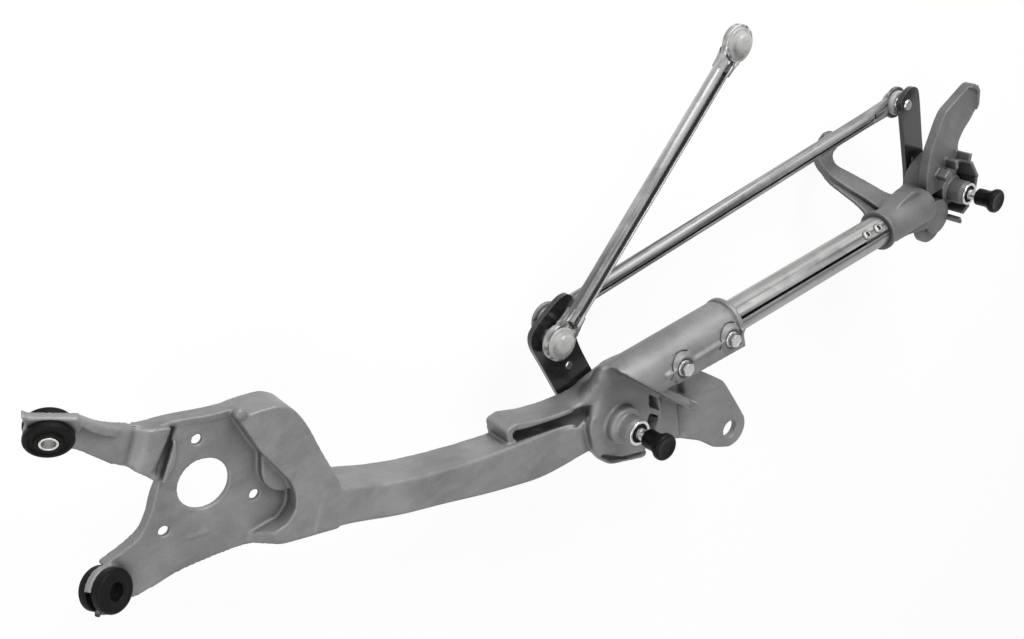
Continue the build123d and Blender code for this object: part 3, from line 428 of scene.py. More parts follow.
@dataclass(frozen=True)
class BlackCoat(Finish):
    """Dark dipped coat on pressed steel: glossy, lightly wavy, rubbed to metal on its edges."""

    bare: Triple = (0.30, 0.30, 0.31)
    rough: Pair = (0.14, 0.30)
    edge: float = 0.7 * MM
    wear: float = 0.7

    def lay(self, bench: Bench) -> None:
        """Lays out the coat and its worn edges.

        Args:
            bench: the material's bench.
        """
        wave = bench.noise(170)
        dust = bench.noise(90, detail=6.0, roughness=0.65)
        chips = bench.noise(420, detail=3.0, roughness=0.7)
        skin = bench.tones(dust, (0.35, 0.7), (0.55, 1.0), (0.75, 1.9))
        bright_edges = bench.times(bench.edges(self.edge), bench.span(chips, 0.42, 0.62, 0.15, self.wear))
        bench.feed("Base Color", bench.layered(skin, (self.bare, bright_edges, 1.0)))
        bench.feed("Metallic", bench.span(bright_edges, 0.1, 0.7, 0.0, 0.9))
        bench.feed("Roughness", bench.span(dust, 0.3, 0.75, *self.rough))
        bench.feed("Coat Weight", 0.2)
        bench.feed("Coat Roughness", 0.1)
        bench.feed("Normal", bench.relief(wave, 0.10 * MM, 0.35, bench.soft_normal(self.edge)))


@dataclass(frozen=True)
class Rubber(Finish):
    """Moulded black rubber: dull, finely pored and paler where it is rubbed."""

    rough: Pair = (0.42, 0.62)
    edge: float = 0.5 * MM

    def lay(self, bench: Bench) -> None:
        """Lays out the moulded rubber.

        Args:
            bench: the material's bench.
        """
        pores = bench.noise(1500)
        bloom = bench.noise(130, detail=5.0, roughness=0.6, warp=0.4)
        skin = bench.tones(bloom, (0.35, 0.7), (0.55, 1.0), (0.75, 1.8))
        bench.feed("Base Color", bench.layered(skin, (3.2, bench.edges(self.edge), 0.6)))
        bench.feed("Roughness", bench.span(bloom, 0.3, 0.7, *self.rough))
        bench.feed("Specular IOR Level", 0.12)
        ground = bench.relief(pores, 0.04 * MM, 0.5, bench.soft_normal(self.edge))
        bench.feed("Normal", bench.relief(bloom, 0.12 * MM, 0.3, ground))


@dataclass(frozen=True)
class MouldedPlastic(Finish):
    """Injection-moulded plastic: fine spark texture, faint flow shades, smooth rounded edges and painted
    shade in its hollows.
    """

    rough: Pair = (0.3, 0.45)
    edge: float = 0.5 * MM
    glow: float = 0.0
    shine: float = 0.4

    def lay(self, bench: Bench) -> None:
        """Lays out the moulded plastic.

        Args:
            bench: the material's bench.
        """
        spark = bench.noise(1800)
        flow = bench.noise((110, 110, 150), detail=3.0, warp=0.6)
        skin = bench.tones(flow, (0.35, 0.84), (0.5, 1.0), (0.7, 1.12))
        # painted shade: darker within 4 mm of walls
        bench.feed("Base Color", bench.layered(skin, (0.55, bench.hollows(4 * MM), 0.5)))
        bench.feed("Roughness", bench.span(flow, 0.3, 0.7, *self.rough))
        bench.feed("Specular IOR Level", self.shine)
        bench.feed("Subsurface Weight", self.glow)
        bench.feed("Subsurface Scale", 2 * MM)
        bench.feed("Normal", bench.relief(spark, 0.03 * MM, 0.4, bench.soft_normal(self.edge)))


@dataclass(frozen=True)
class SinteredBronze(Finish):
    """Oil-filled sintered bronze: grainy, dull, with dark pores."""

    edge: float = 0.2 * MM

    def lay(self, bench: Bench) -> None:
        """Lays out the sintered bronze.

        Args:
            bench: the material's bench.
        """
        grains = bench.noise(1300, roughness=0.7)
        oil = bench.noise(160, detail=3.0)
        skin = bench.tones(grains, (0.4, 0.35), (0.5, 1.0), (0.7, 1.3))
        bench.feed("Base Color", bench.layered(skin, (0.5, bench.span(oil, 0.45, 0.7, 0.0, 0.6), 1.0)))
        bench.feed("Metallic", 0.8)
        bench.feed("Roughness", bench.span(oil, 0.3, 0.7, 0.5, 0.32))
        bench.feed("Normal", bench.relief(grains, 0.05 * MM, 0.6, bench.soft_normal(self.edge)))


TUBE_TURN = -4.61
LINK_TURN = 34.0
CAST = CastAlloy("cast_skin", Slot.CAST_ALLOY, (0.212, 0.212, 0.212))
# The far bracket gets a darker copy of the same cast finish: painted shade, not a different alloy.
CAST_FAR_SHADED = CastAlloy("cast_skin_far_shaded", Slot.CAST_ALLOY, (0.138, 0.138, 0.139), flow_turn=-50.0)
TUBE = DrawnSteel(
    "drawn_tube", Slot.TUBE_STEEL, (0.30, 0.30, 0.297), (0, 0, TUBE_TURN),
    contrast=0.3, streaks=0.8, streak_count=170.0,
)
ROD = DrawnSteel("pressed_rod", Slot.ROD_STEEL, (0.32, 0.32, 0.32), (0, 0, LINK_TURN), rough=(0.30, 0.46))
TIE = DrawnSteel("tie_rod_coat", Slot.TIE_STEEL, (0.22, 0.22, 0.222), metal=0.45, rough=(0.40, 0.56))
LEVER = BlackCoat("lever_coat", Slot.LEVER_STEEL, (0.016, 0.016, 0.017))
SPINDLE = TurnedSteel("spindle_turned", Slot.SPINDLE_STEEL, (0.55, 0.55, 0.55))
STUD = TurnedSteel("stud_turned", Slot.STUD_STEEL, (0.50, 0.50, 0.50))
SCREW = TurnedSteel("screw_zinc", Slot.SCREW_STEEL, (0.50, 0.50, 0.49), rough=(0.26, 0.42), ring=600.0)
RIVET = TurnedSteel("rivet_zinc", Slot.RIVET_STEEL, (0.34, 0.34, 0.335), rough=(0.3, 0.46), ring=600.0)
WASHER = TurnedSteel("washer_plain", Slot.WASHER_STEEL, (0.42, 0.42, 0.42), rough=(0.3, 0.45))
NOSE_RING = TurnedSteel("nose_ring_bright", Slot.NOSE_RING, (0.62, 0.62, 0.61))
SLEEVE = TurnedSteel(
    "sleeve_zinc", Slot.SLEEVE_STEEL, (0.66, 0.66, 0.65), rough=(0.3, 0.46), ring=900.0, painted_shade=0.1,
)
BRONZE = SinteredBronze("sintered_bush", Slot.BUSH_BRONZE, (0.36, 0.25, 0.13))
SEAL = Rubber("seal_rubber_skin", Slot.SEAL_RUBBER, (0.003, 0.003, 0.003))
GROMMET = Rubber("grommet_rubber_skin", Slot.GROMMET_RUBBER, (0.0045, 0.0045, 0.0047))
CAP = MouldedPlastic("cap_black", Slot.CAP_PLASTIC, (0.003, 0.003, 0.0032), shine=0.14)
CUP = MouldedPlastic("cup_offwhite", Slot.CUP_PLASTIC, (0.40, 0.40, 0.39), rough=(0.25, 0.4), glow=0.15)

NODES_OF = {
    CAST: ("main_casting",),
    CAST_FAR_SHADED: ("far_bracket",),
    TUBE: ("frame_tube",),
    SCREW: ("sleeve_screw_1", "sleeve_screw_2"),
    RIVET: ("tube_rivet_1", "tube_rivet_2"),
    GROMMET: ("upper_grommet", "lower_grommet"),
    SLEEVE: ("upper_grommet_sleeve",),
    SPINDLE: ("driver_spindle", "far_spindle"),
    BRONZE: ("driver_upper_bush", "driver_lower_bush", "far_upper_bush", "far_lower_bush"),
    SEAL: ("driver_seal_ring", "far_seal_ring"),
    NOSE_RING: ("driver_nose_ring", "far_nose_ring"),
    WASHER: ("driver_thrust_washer", "far_thrust_washer"),
    CAP: ("driver_cap", "far_cap"),
    LEVER: ("driver_lever", "far_lever"),
    STUD: ("motor_link_stud", "near_tie_stud", "far_tie_stud"),
    ROD: ("motor_link_rod",),
    TIE: ("tie_link_rod",),
    CUP: ("motor_link_near_cup", "motor_link_free_cup", "tie_link_near_cup", "tie_link_far_cup"),
}
FINISH_OF = {node: finish for finish, nodes in NODES_OF.items() for node in nodes}


@cache
def coat(finish: Finish) -> bpy.types.Material:
    """The finish's material, made the first time that it is asked for."""
    return finish.material()


def dress_solids() -> None:
    """Gives every solid of the frame its finish."""
    for name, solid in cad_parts.items():
        for place in solid.material_slots:
            place.link = "OBJECT"
            place.material = coat(FINISH_OF[name])
        log.info("dressed %s with %s", name, FINISH_OF[name].name)


def placed(name: str, data: bpy.types.ID) -> bpy.types.Object:
    """Makes an object of a mesh, a lamp or a camera and puts it in the scene.

    Args:
        name: name of the object.
        data: what it shows.

    Returns:
        The object.
    """
    made = bpy.data.objects.new(name, data)
    bpy.context.collection.objects.link(made)
    return made


def through_modifiers(mesh: Mesh, *settings: tuple[str, dict[str, object]]) -> Mesh:
    """Runs a mesh through modifiers and gives back the result.

    Args:
        mesh: mesh to start from.
        *settings: each modifier's type with its properties, in order.

    Returns:
        The new mesh.
    """
    carrier = placed("carrier", mesh)
    for kind, values in settings:
        modifier = carrier.modifiers.new(kind, kind)
        for key, value in values.items():
            setattr(modifier, key, value)
    made = bpy.data.meshes.new_from_object(carrier.evaluated_get(bpy.context.evaluated_depsgraph_get()))
    bpy.data.objects.remove(carrier)
    return made


def as_mesh(name: str, shape: Shape) -> Mesh:
    """Writes a shape to a new mesh and frees the shape.

    Args:
        name: name of the mesh.
        shape: the shape.

    Returns:
        The mesh.
    """
    mesh = bpy.data.meshes.new(name)
    shape.to_mesh(mesh)
    shape.free()
    return mesh


def as_shape(mesh: Mesh) -> Shape:
    """Reads a mesh into a new shape.

    Args:
        mesh: the mesh.

    Returns:
        The shape.
    """
    shape = bmesh.new()
    shape.from_mesh(mesh)
    return shape


def joined(mesh: Mesh, shapes: Iterable[Shape]) -> Mesh:
    """Adds closed shapes to a mesh.

    Args:
        mesh: mesh to add to.
        shapes: shapes to add, which are freed.

    Returns:
        The same mesh.
    """
    whole = as_shape(mesh)
    for shape in shapes:
        part = as_mesh("part", shape)
        whole.from_mesh(part)
        bpy.data.meshes.remove(part)
    whole.to_mesh(mesh)
    whole.free()
    return mesh


def carved(mesh: Mesh, cutters: Iterable[Shape]) -> Mesh:
    """Cuts closed shapes out of a closed mesh.

    Args:
        mesh: mesh to cut.
        cutters: shapes to take away, which are freed.

    Returns:
        The cut mesh.
    """
    for number, shape in enumerate(cutters):
        tool = placed(f"cutter_{number}", as_mesh("cutter", shape))
        cut = {"operation": "DIFFERENCE", "solver": "MANIFOLD", "object": tool}
        mesh = through_modifiers(mesh, ("BOOLEAN", cut))
        bpy.data.objects.remove(tool)
    return mesh


def solid_copy(node: str) -> Mesh:
    """Copies a solid's skin and joins its loose triangles.

    Args:
        node: name of the solid.

    Returns:
        The closed mesh.
    """
    shape = as_shape(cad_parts[node].data)
    bmesh.ops.remove_doubles(shape, verts=shape.verts, dist=0.02 * MM)
    return as_mesh(node + "_copy", shape)


def facing(centre: Sequence[float], axis: Sequence[float], along: Sequence[float] = (1, 0, 0)) -> Matrix:
    """Place whose Z axis is the given one and whose X axis lies as near as can be to a direction.

    Args:
        centre: origin of the place.
        axis: its Z axis.
        along: direction that its X axis leans to.

    Returns:
        The place.
    """
    up = Vector(axis).normalized()
    side = Vector(along)
    side = (side - up * side.dot(up)).normalized()
    return Matrix.Translation(Vector(centre)) @ Matrix((side, up.cross(side), up)).transposed().to_4x4()


def rectangle(left: float, low: float, right: float, high: float) -> Outline:
    """Corners of a rectangle."""
    return ((left, low), (right, low), (right, high), (left, high))


def arc(radius: float, start: int, end: int) -> Outline:
    """Points on an arc round the origin, every ten degrees from one angle to just before another."""
    turns = [math.radians(turn) for turn in range(start, end, 10)]
    return [(radius * math.cos(turn), radius * math.sin(turn)) for turn in turns]


def bevelled(shape: Shape, parts: list[Corner] | list[Edge], soft: float, steps: int) -> None:
    """Rounds a shape's corners or edges, if there is anything to round.

    Args:
        shape: shape to round.
        parts: its vertices or its edges.
        soft: how far the rounding reaches, in millimetres.
        steps: steps of the rounding.
    """
    if soft > 0:
        affect = "EDGES" if isinstance(parts[0], Edge) else "VERTICES"
        bmesh.ops.bevel(
            shape, geom=parts, offset=soft * MM, offset_type="OFFSET", affect=affect, segments=steps,
            profile=0.5, clamp_overlap=True, material=-1,
        )


def raised(shape: Shape, height: float) -> None:
    """Draws a flat shape out into a closed prism.

    Args:
        shape: shape with one or more faces in a plane across Z.
        height: how far it is drawn out along Z, in millimetres.
    """
    made = bmesh.ops.extrude_face_region(shape, geom=shape.faces[:], use_keep_orig=True)
    moved = [part for part in made["geom"] if isinstance(part, Corner)]
    bmesh.ops.translate(shape, verts=moved, vec=(0, 0, height * MM))
    bmesh.ops.recalc_face_normals(shape, faces=shape.faces)


def turned(profile: Outline, place: Matrix = HERE, soft: float = 0.0, closed: bool = True) -> Shape:
    """Turns a profile about its place's Z axis, with the profile's corners rounded.

    Args:
        profile: radius and height of each corner, in millimetres.
        place: place of the turned shape.
        soft: how far the rounding reaches from each corner, in millimetres.
        closed: whether the last corner joins the first; an open profile starts and ends on the axis.

    Returns:
        The turned shape.
    """
    shape = bmesh.new()
    corners = [shape.verts.new((radius * MM, 0, height * MM)) for radius, height in profile]
    for number in range(len(corners) if closed else len(corners) - 1):
        shape.edges.new((corners[number], corners[(number + 1) % len(corners)]))
    bevelled(shape, [corner for corner in corners if len(corner.link_edges) == 2], soft, steps=3)
    bmesh.ops.spin(
        shape, geom=shape.verts[:] + shape.edges[:], cent=(0, 0, 0), axis=(0, 0, 1), angle=2 * math.pi,
        steps=64, use_merge=True,
    )
    bmesh.ops.remove_doubles(shape, verts=shape.verts, dist=0.001 * MM)
    bmesh.ops.recalc_face_normals(shape, faces=shape.faces)
    bmesh.ops.transform(shape, matrix=place, verts=shape.verts)
    return shape


def slab(outline: Outline, top: float, depth: float, place: Matrix = HERE, soft: float = 0.0) -> Shape:
    """Prism of an outline, seen along its place's Z axis.

    Args:
        outline: corners in millimetres.
        top: height of its upper face, in millimetres.
        depth: its thickness, in millimetres.
        place: place of the prism.
        soft: how far its edges are rounded, in millimetres.

    Returns:
        The prism.
    """
    shape = bmesh.new()
    shape.faces.new([shape.verts.new((x * MM, y * MM, top * MM)) for x, y in outline])
    raised(shape, -depth)
    bevelled(shape, shape.edges[:], soft, steps=2)
    bmesh.ops.transform(shape, matrix=place, verts=shape.verts)
    return shape


@dataclass(frozen=True)
class SoftSpot:
    """Region of a casting whose corners are rounder than elsewhere, but for a kept bore at its centre."""

    centre: Triple
    reach: float
    rounds: int
    kept: float = 0.0

    def relax(self, shape: Shape) -> None:
        """Smooths the shape inside the region.

        Args:
            shape: shape to smooth.
        """
        ways = [(vertex, vertex.co - Vector(self.centre)) for vertex in shape.verts]
        inside = [vertex for vertex, way in ways if way.length < self.reach and way.xy.length > self.kept]
        axes = {"use_axis_x": True, "use_axis_y": True, "use_axis_z": True}
        for _ in range(self.rounds):
            bmesh.ops.smooth_vert(shape, verts=inside, factor=0.5, **axes)


@dataclass(frozen=True)
class Valley:
    """Soft valley, or ridge where its depth is below zero, pressed into a casting along a line.

    It changes what lies above a height, out to a spread of so many widths from the line.
    """

    start: Pair
    end: Pair
    width: float
    depth: float
    above: float
    spread: float = 2.5

    def press(self, shape: Shape) -> None:
        """Moves the shape's upper surface along the line.

        Args:
            shape: shape to press.
        """
        start = Vector(self.start)
        along = Vector(self.end) - start
        for vertex in shape.verts:
            if vertex.co.z < self.above:
                continue
            place = vertex.co.xy - start
            share = min(max(place.dot(along) / along.length_squared, 0.0), 1.0)
            away = (place - along * share).length / self.width
            if away < self.spread:
                vertex.co.z -= self.depth * math.exp(-away * away)


@dataclass
class Piece:
    """A piece of the scene that stands for one solid."""

    node: str
    finish: Finish
    body: str

    def fit(self, kind: str, mesh: Mesh, crease: float | None = None) -> None:
        """Finishes the piece's mesh and hangs it on its body, in place of its solid.

        Args:
            kind: ending of the piece's name.
            mesh: its mesh.
            crease: angle in degrees above which an edge stays sharp, or None where all are smooth.
        """
        mesh.polygons.foreach_set("use_smooth", [True] * len(mesh.polygons))
        if crease is not None:
            mesh.set_sharp_from_angle(angle=math.radians(crease))
        mesh.materials.clear()
        mesh.materials.append(coat(self.finish))
        piece = placed(self.node + kind, mesh)
        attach(piece, self.body)
        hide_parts(self.node)
        log.info("built %s on %s with %d faces", piece.name, self.body, len(mesh.polygons))


@dataclass
class RoundedSkin(Piece):
    """A cast or pressed part: its solid's skin with every edge and inner corner rounded."""

    cell: float
    rounds: int
    kept_share: float
    soft_spots: tuple[SoftSpot, ...] = ()
    valleys: tuple[Valley, ...] = ()

    def pads(self) -> list[Shape]:
        """Closed shapes that are added before the rounding."""
        return []

    def cuts(self) -> list[Shape]:
        """Closed shapes that are cut away after the soft spots and the valleys."""
        return []

    def build(self) -> None:
        """Builds the rounded part in place of its solid."""
        whole = joined(solid_copy(self.node), self.pads())
        mesh = through_modifiers(whole, ("REMESH", {"mode": "VOXEL", "voxel_size": self.cell}))
        shape = as_shape(mesh)
        for spot in self.soft_spots:
            spot.relax(shape)
        for valley in self.valleys:
            valley.press(shape)
        shape.to_mesh(mesh)
        shape.free()
        smooth = ("SMOOTH", {"factor": 0.5, "iterations": self.rounds})
        mesh = through_modifiers(carved(mesh, self.cuts()), smooth, ("DECIMATE", {"ratio": self.kept_share}))
        self.fit("_skin", mesh)


@dataclass
class Ear:
    """Place of a grommet's ear on the motor bracket."""

    centre: Triple
    axis: Triple
    along: Triple
    waist: float = 9.52
    half: float = 2.5

    def place(self) -> Matrix:
        """The ear's middle plane, with its Z axis along the grommet."""
        return facing(self.centre, self.axis, self.along)


UPPER_EAR = Ear((-0.3730, 0.2425, -0.0200), (-0.43, -0.29, 0.85), (0.851, -0.471, 0.235))
LOWER_EAR = Ear((-0.3860, 0.1298, -0.0240), (0.45, 0.05, 0.89), (-0.551, 0.720, 0.421))


@dataclass(frozen=True)
class TubeLine:
    """Straight axis of the frame tube."""

    start_y: float = 36.3
    height: float = -20.0
    angle: float = TUBE_TURN

    def direction(self) -> Vector:
        """Direction of the tube."""
        return Vector((math.cos(math.radians(self.angle)), math.sin(math.radians(self.angle)), 0))

    def beside(self, station: float, shift: float) -> Pair:
        """Plan point beside the axis, in millimetres."""
        return (station, self.start_y + station * math.tan(math.radians(self.angle)) + shift)

    def point(self, station: float) -> Vector:
        """Point on the axis, in metres."""
        return Vector((*self.beside(station, 0), self.height)) * MM

    def outwards(self, angle: float) -> Vector:
        """Direction away from the axis at an angle measured from +Y towards +Z."""
        side = Vector(UPWARDS).cross(self.direction())
        return side * math.cos(math.radians(angle)) + Vector(UPWARDS) * math.sin(math.radians(angle))


TUBE_LINE = TubeLine()
SCREW_STATIONS = (54.0, 107.0)
SCREW_SHIFT = -2.0


@dataclass
class MotorBracket(RoundedSkin):
    """The die-cast motor bracket, with its tube sleeve, housing lip and grommet ears."""

    node: str = "main_casting"
    finish: Finish = CAST
    body: str = "frame"
    cell: float = 0.8 * MM
    rounds: int = 3
    kept_share: float = 0.25
    soft_spots: tuple[SoftSpot, ...] = (
        SoftSpot((0.005, -0.002, -0.034), 0.052, 10, 0.0165),
        SoftSpot((-0.012, 0.041, -0.030), 0.026, 90),
        SoftSpot((-0.335, 0.204, -0.025), 0.016, 60),
    )
    valleys: tuple[Valley, ...] = (
        Valley((-0.3300, 0.2115), (-0.3430, 0.1940), 4.2 * MM, 3.4 * MM, -0.0300),
        Valley((-0.3115, 0.1985), (-0.3310, 0.1815), 2.6 * MM, 2.5 * MM, -0.0330),
        Valley((0.0752, -0.0254), (0.1130, -0.0378), 2.0 * MM, -1.6 * MM, -0.0335),
        Valley((0.0720, -0.0120), (0.0663, -0.0590), 3.4 * MM, 3.5 * MM, -0.0335),
    )
    strip: Outline = ((45, -13.4), (121.5, -16.6), (121.5, 1.7), (57, 1.7), (57, -9.4), (45, -9.4))
    strip_top: float = 0.75
    bar: Outline = ((30.7, 18.9), (29.3, 17.5), (70.0, -26.6), (71.4, -25.2))
    shoulder: tuple[tuple[float, float, Outline], ...] = (
        (-4, 7, ((29, -24), (50, -24), (48, -31), (32, -50), (29, -50))),
        (-11, 6, ((29, -26), (43, -26.5), (41.5, -33), (32, -46), (29, -46))),
        (-17, 6, ((29, -28.5), (37.5, -29), (36.5, -35), (31, -42), (29, -42))),
    )
    collar: Outline = ((0, -24), (15.7, -24), (15.7, -15.5), (14.0, -14.5), (14.0, -14), (0, -14))
    nub: Outline = ((0, -4), (3.6, -4), (3.6, 0.8), (2.4, 2.0), (0, 2.4))
    nub_centre: Triple = (-0.2753, 0.1939, -0.0136)
    upper_plate: Outline = (
        (-15.6, 15.4), (-11.2, 13.6), (1.0, 14.2), (13.5, 14.6), (17.0, 9.0), (13.0, 0.0), (-10.4, 0.0),
        (-11.6, 5.0), (-13.6, 10.0),
    )
    lower_plate: Outline = tuple(arc(14.5, 0, 360))
    lip_channel: Outline = (
        (-25.5, -18.5), (-15, -32), (3, -41), (19, -47), (20, -43.5), (14.5, -40.3), (-5, -31.8),
        (-22.5, -17.5),
    )
    box_slot: Outline = (
        (-89.8, 32), (-90.6, 39), (-88.6, 47.6), (-71.2, 40.4), (-52.7, 34.6), (-33.6, 29.7), (-18.0, 26.8),
        (-19, 15), (-38, 15), (-64, 24), (-79, 29.5),
    )
    slot_end: Outline = ((-43, 30.8), (-18, 26.8), (-23.5, 18.8), (-43, 22.8))
    windows: tuple[Outline, ...] = (
        ((34.0, 6.4), (41.4, -3.0), (41.0, -15.0), (31.6, -5.8)),
        ((29.9, -12.8), (38.6, -22.4), (33.2, -31.0), (26.2, -22.6)),
    )
    pits: Outline = ((93.0, -4.4), (40.5, -6.0))
    pit: Outline = ((-1.6, -1.2), (1.8, -1.6), (0.4, 1.6))
    crescent: Outline = tuple(arc(12.5, 50, 200) + arc(13.6, 50, 200)[::-1])
    bead_gap: float = 115.2
    groove: Outline = rectangle(18.9, 0, 24.0, 2.6)
    mouth: Outline = ((4.0, 0.5), (18.0, 2.0), (18.0, 14.0), (3.0, 17.5))

    def pads(self) -> list[Shape]:
        """The sleeve's strip, the bar, the shoulder, the nose's collar, the nub and the ears' plates.

        Returns:
            The shapes.
        """
        strip = [TUBE_LINE.beside(*corner) for corner in self.strip]
        across = facing((0, 0, 0), (1, 0, 0), (0, 1, 0))
        plates = ((UPPER_EAR, self.upper_plate), (LOWER_EAR, self.lower_plate))
        return [
            slab(strip, top=self.strip_top, depth=9.0, soft=0.3),
            slab(self.bar, top=-14.2, depth=4.0, soft=0.4),
            *(slab(section, top, depth, across) for top, depth, section in self.shoulder),
            turned(self.collar, closed=False),
            turned(self.nub, facing(self.nub_centre, UPWARDS), closed=False),
            *(slab(plate, ear.half, 2 * ear.half, ear.place()) for ear, plate in plates),
        ]

    def cuts(self) -> list[Shape]:
        """Slots, windows, pits, crescents, the bead's groove, the ears' bores and the lower ear's mouth.

        Returns:
            The shapes.
        """
        made = [
            slab(self.box_slot, top=-29.2, depth=22.0),
            slab(self.lip_channel, top=-19.0, depth=10.5),
            slab(self.slot_end, top=-20.0, depth=10.0),
            *(slab(window, top=0.0, depth=42.0) for window in self.windows),
        ]
        for station, shift in self.pits:
            x, y = TUBE_LINE.beside(station, shift)
            pit = [(x + east, y + north) for east, north in self.pit]
            made.append(slab(pit, top=4.0, depth=7.0))
        for station in SCREW_STATIONS:
            x, y = TUBE_LINE.beside(station, SCREW_SHIFT)
            place = facing(Vector((x, y, 0)) * MM, UPWARDS)
            made.append(slab(self.crescent, top=2.0, depth=6.0, place=place))
        made.append(turned(self.groove, facing(TUBE_LINE.point(self.bead_gap), TUBE_LINE.direction())))
        for ear in (UPPER_EAR, LOWER_EAR):
            reach = ear.half + 4
            made.append(turned(rectangle(0, -reach, ear.waist, reach), ear.place(), closed=False))
        clear = LOWER_EAR.half + 0.4
        made.append(slab(self.mouth, clear, 2 * clear, LOWER_EAR.place()))
        return made


@dataclass
class FarBracket(RoundedSkin):
    """The far bearing bracket, with the raised lip at its wing's tip."""

    node: str = "far_bracket"
    finish: Finish = CAST_FAR_SHADED
    body: str = "frame"
    cell: float = 0.65 * MM
    rounds: int = 2
    kept_share: float = 0.35
    spindle: float = 425.0
    lip: Outline = (
        (29.5, 90.3), (35, 91.3), (42.3, 87.4), (45.2, 81), (43.4, 67.6), (39.4, 64.0), (41.2, 80),
        (38.9, 84.6), (34, 87.4),
    )
    mouth: float = 316.2
    rim: Outline = rectangle(14.2, 0, 18.4, 3.4)

    def pads(self) -> list[Shape]:
        """The wing's lip and the rim of the tube's mouth.

        Returns:
            The shapes.
        """
        rim = turned(self.rim, facing(TUBE_LINE.point(self.mouth), TUBE_LINE.direction()))
        lip = [(x + self.spindle, y) for x, y in self.lip]
        return [slab(lip, top=-17.8, depth=4.0), rim]


@dataclass
class MotorLink(RoundedSkin):
    """The pressed motor link: a folded channel whose seam runs to the socket eyes."""

    node: str = "motor_link_rod"
    finish: Finish = ROD
    body: str = "motor_link"
    cell: float = 0.5 * MM
    rounds: int = 3
    kept_share: float = 0.4
    pin: Triple = (-0.0220, 0.0810, -0.0470)
    angle: float = LINK_TURN
    length: float = 268.0
    seam: Pair = (-4.0, 0.2)
    seam_margin: float = 13.0
    eye_rim: Outline = rectangle(12.2, -2.7, 14.6, 2.7)
    fold: Outline = ((10.2, 8.0), (24.0, 3.4), (24.0, 7.2), (16.0, 9.2), (11.0, 11.0))
    gap: Triple = (9.0, 17.0, 1.1)

    def place(self, station: float = 0.0) -> Matrix:
        """A place on the near pin or further along the link, with its X axis along the link."""
        turn = math.radians(self.angle)
        near = facing(self.pin, UPWARDS, (math.cos(turn), math.sin(turn), 0))
        return near @ Matrix.Translation((station * MM, 0, 0))

    def ends(self) -> tuple[tuple[float, int], ...]:
        """Station of each eye, and the sense of X that leads from it into the link."""
        return ((0.0, 1), (self.length, -1))

    def pads(self) -> list[Shape]:
        """The eyes' raised rims and the folds that join them to the channel.

        Returns:
            The shapes.
        """
        made = []
        for end, way in self.ends():
            made.append(turned(self.eye_rim, self.place(end)))
            for side in (1, -1):
                fold = [(way * x, side * y) for x, y in self.fold]
                made.append(slab(fold, top=3.4, depth=6.8, place=self.place(end), soft=0.4))
        return made

    def cuts(self) -> list[Shape]:
        """The seam between the channel's lips and the gaps at the eyes' outer ends.

        Returns:
            The shapes.
        """
        low, high = self.seam
        near, far, half = self.gap
        seam = rectangle(self.seam_margin, low, self.length - self.seam_margin, high)
        made = [slab(seam, top=6.0, depth=4.6, place=self.place())]
        for end, way in self.ends():
            gap = rectangle(end - way * near, -half, end - way * far, half)
            made.append(slab(gap, top=6.0, depth=5.0, place=self.place()))
        return made


@dataclass
class Grommet(Piece):
    """Rubber grommet in an ear: two rounded flanges on a waist, with a collar round the bore."""

    ear: Ear
    half: float
    bore: float
    collar: float
    dip: float
    flange: float = 13.6
    waist: float = 9.4

    def build(self) -> None:
        """Turns the grommet in place of its solid."""
        collar, flange, top, web = self.collar, self.flange, self.half, self.ear.half
        side = [
            (self.bore, top - 0.9), (self.bore + 0.7, top), (collar, top), (collar + 0.6, top - self.dip),
            (collar + 2.6, top - self.dip), (collar + 3.4, top - 0.2), (flange - 1.0, top - 0.6),
            (flange, top - 2.0), (flange, web + 0.9), (flange - 0.8, web + 0.05), (self.waist, web + 0.05),
        ]
        profile = side + [(radius, -height) for radius, height in reversed(side)]
        shape = turned(profile, self.ear.place(), soft=0.5)
        self.fit("_moulded", as_mesh(self.node + "_moulded", shape), crease=40)


CUP_SHAPE = (
    (0, 10.3), (4.2, 9.9), (7.0, 8.8), (8.6, 7.0), (9.1, 5.0), (9.6, 3.9), (10.4, 3.9), (11.6, 3.7),
    (12.5, 3.0), (12.8, 2.4), (12.8, 1.65), (11.45, 1.65), (11.45, -3.2), (10.7, -5.5), (6.6, -5.5),
    (6.5, -4.9), (7.6, -2.8), (8.1, 0), (7.6, 2.8), (6.2, 5.2), (4.0, 7.05), (0, 8.1),
)
CAP_SHAPE = (
    (0, 22.2), (4.1, 22.2), (4.1, 8.75), (7.2, 8.75), (7.8, 9.5), (7.7, 18.2), (8.2, 20.6), (9.5, 23.0),
    (10.7, 24.6), (10.95, 26.4), (10.6, 28.4), (9.4, 29.4), (7.8, 29.3), (5.0, 28.6), (0, 28.4),
)
RIVET_SHAPE = (
    (0, 6.0), (2.0, 6.0), (2.0, 14.15), (4.5, 14.15), (4.4, 14.8), (3.4, 15.8), (2.5, 16.0), (2.0, 15.4),
    (1.7, 13.2), (1.1, 13.2), (1.0, 14.2), (0, 14.3),
)
NOSE_RING_SHAPE = ((7.9, -0.78), (10.0, -0.78), (10.2, -0.3), (9.8, 0.25), (8.4, 0.25), (7.9, -0.2))
SEAL_SHAPE = (
    (4.06, -3.0), (6.9, -3.0), (6.9, -0.76), (7.88, -0.76), (7.88, -0.4), (6.8, -0.45), (5.6, -1.3),
    (4.6, -0.9), (4.06, -0.5),
)


@dataclass
class TurnedPiece(Piece):
    """A piece turned from one profile about its place's Z axis."""

    profile: Outline
    centre: Sequence[float]
    axis: Sequence[float] = (0.0, 0.0, 1.0)
    soft: float = 0.3
    closed: bool = False

    def build(self) -> None:
        """Turns the piece in place of its solid."""
        shape = turned(self.profile, facing(self.centre, self.axis), soft=self.soft, closed=self.closed)
        self.fit("_turned", as_mesh(self.node + "_turned", shape), crease=40)


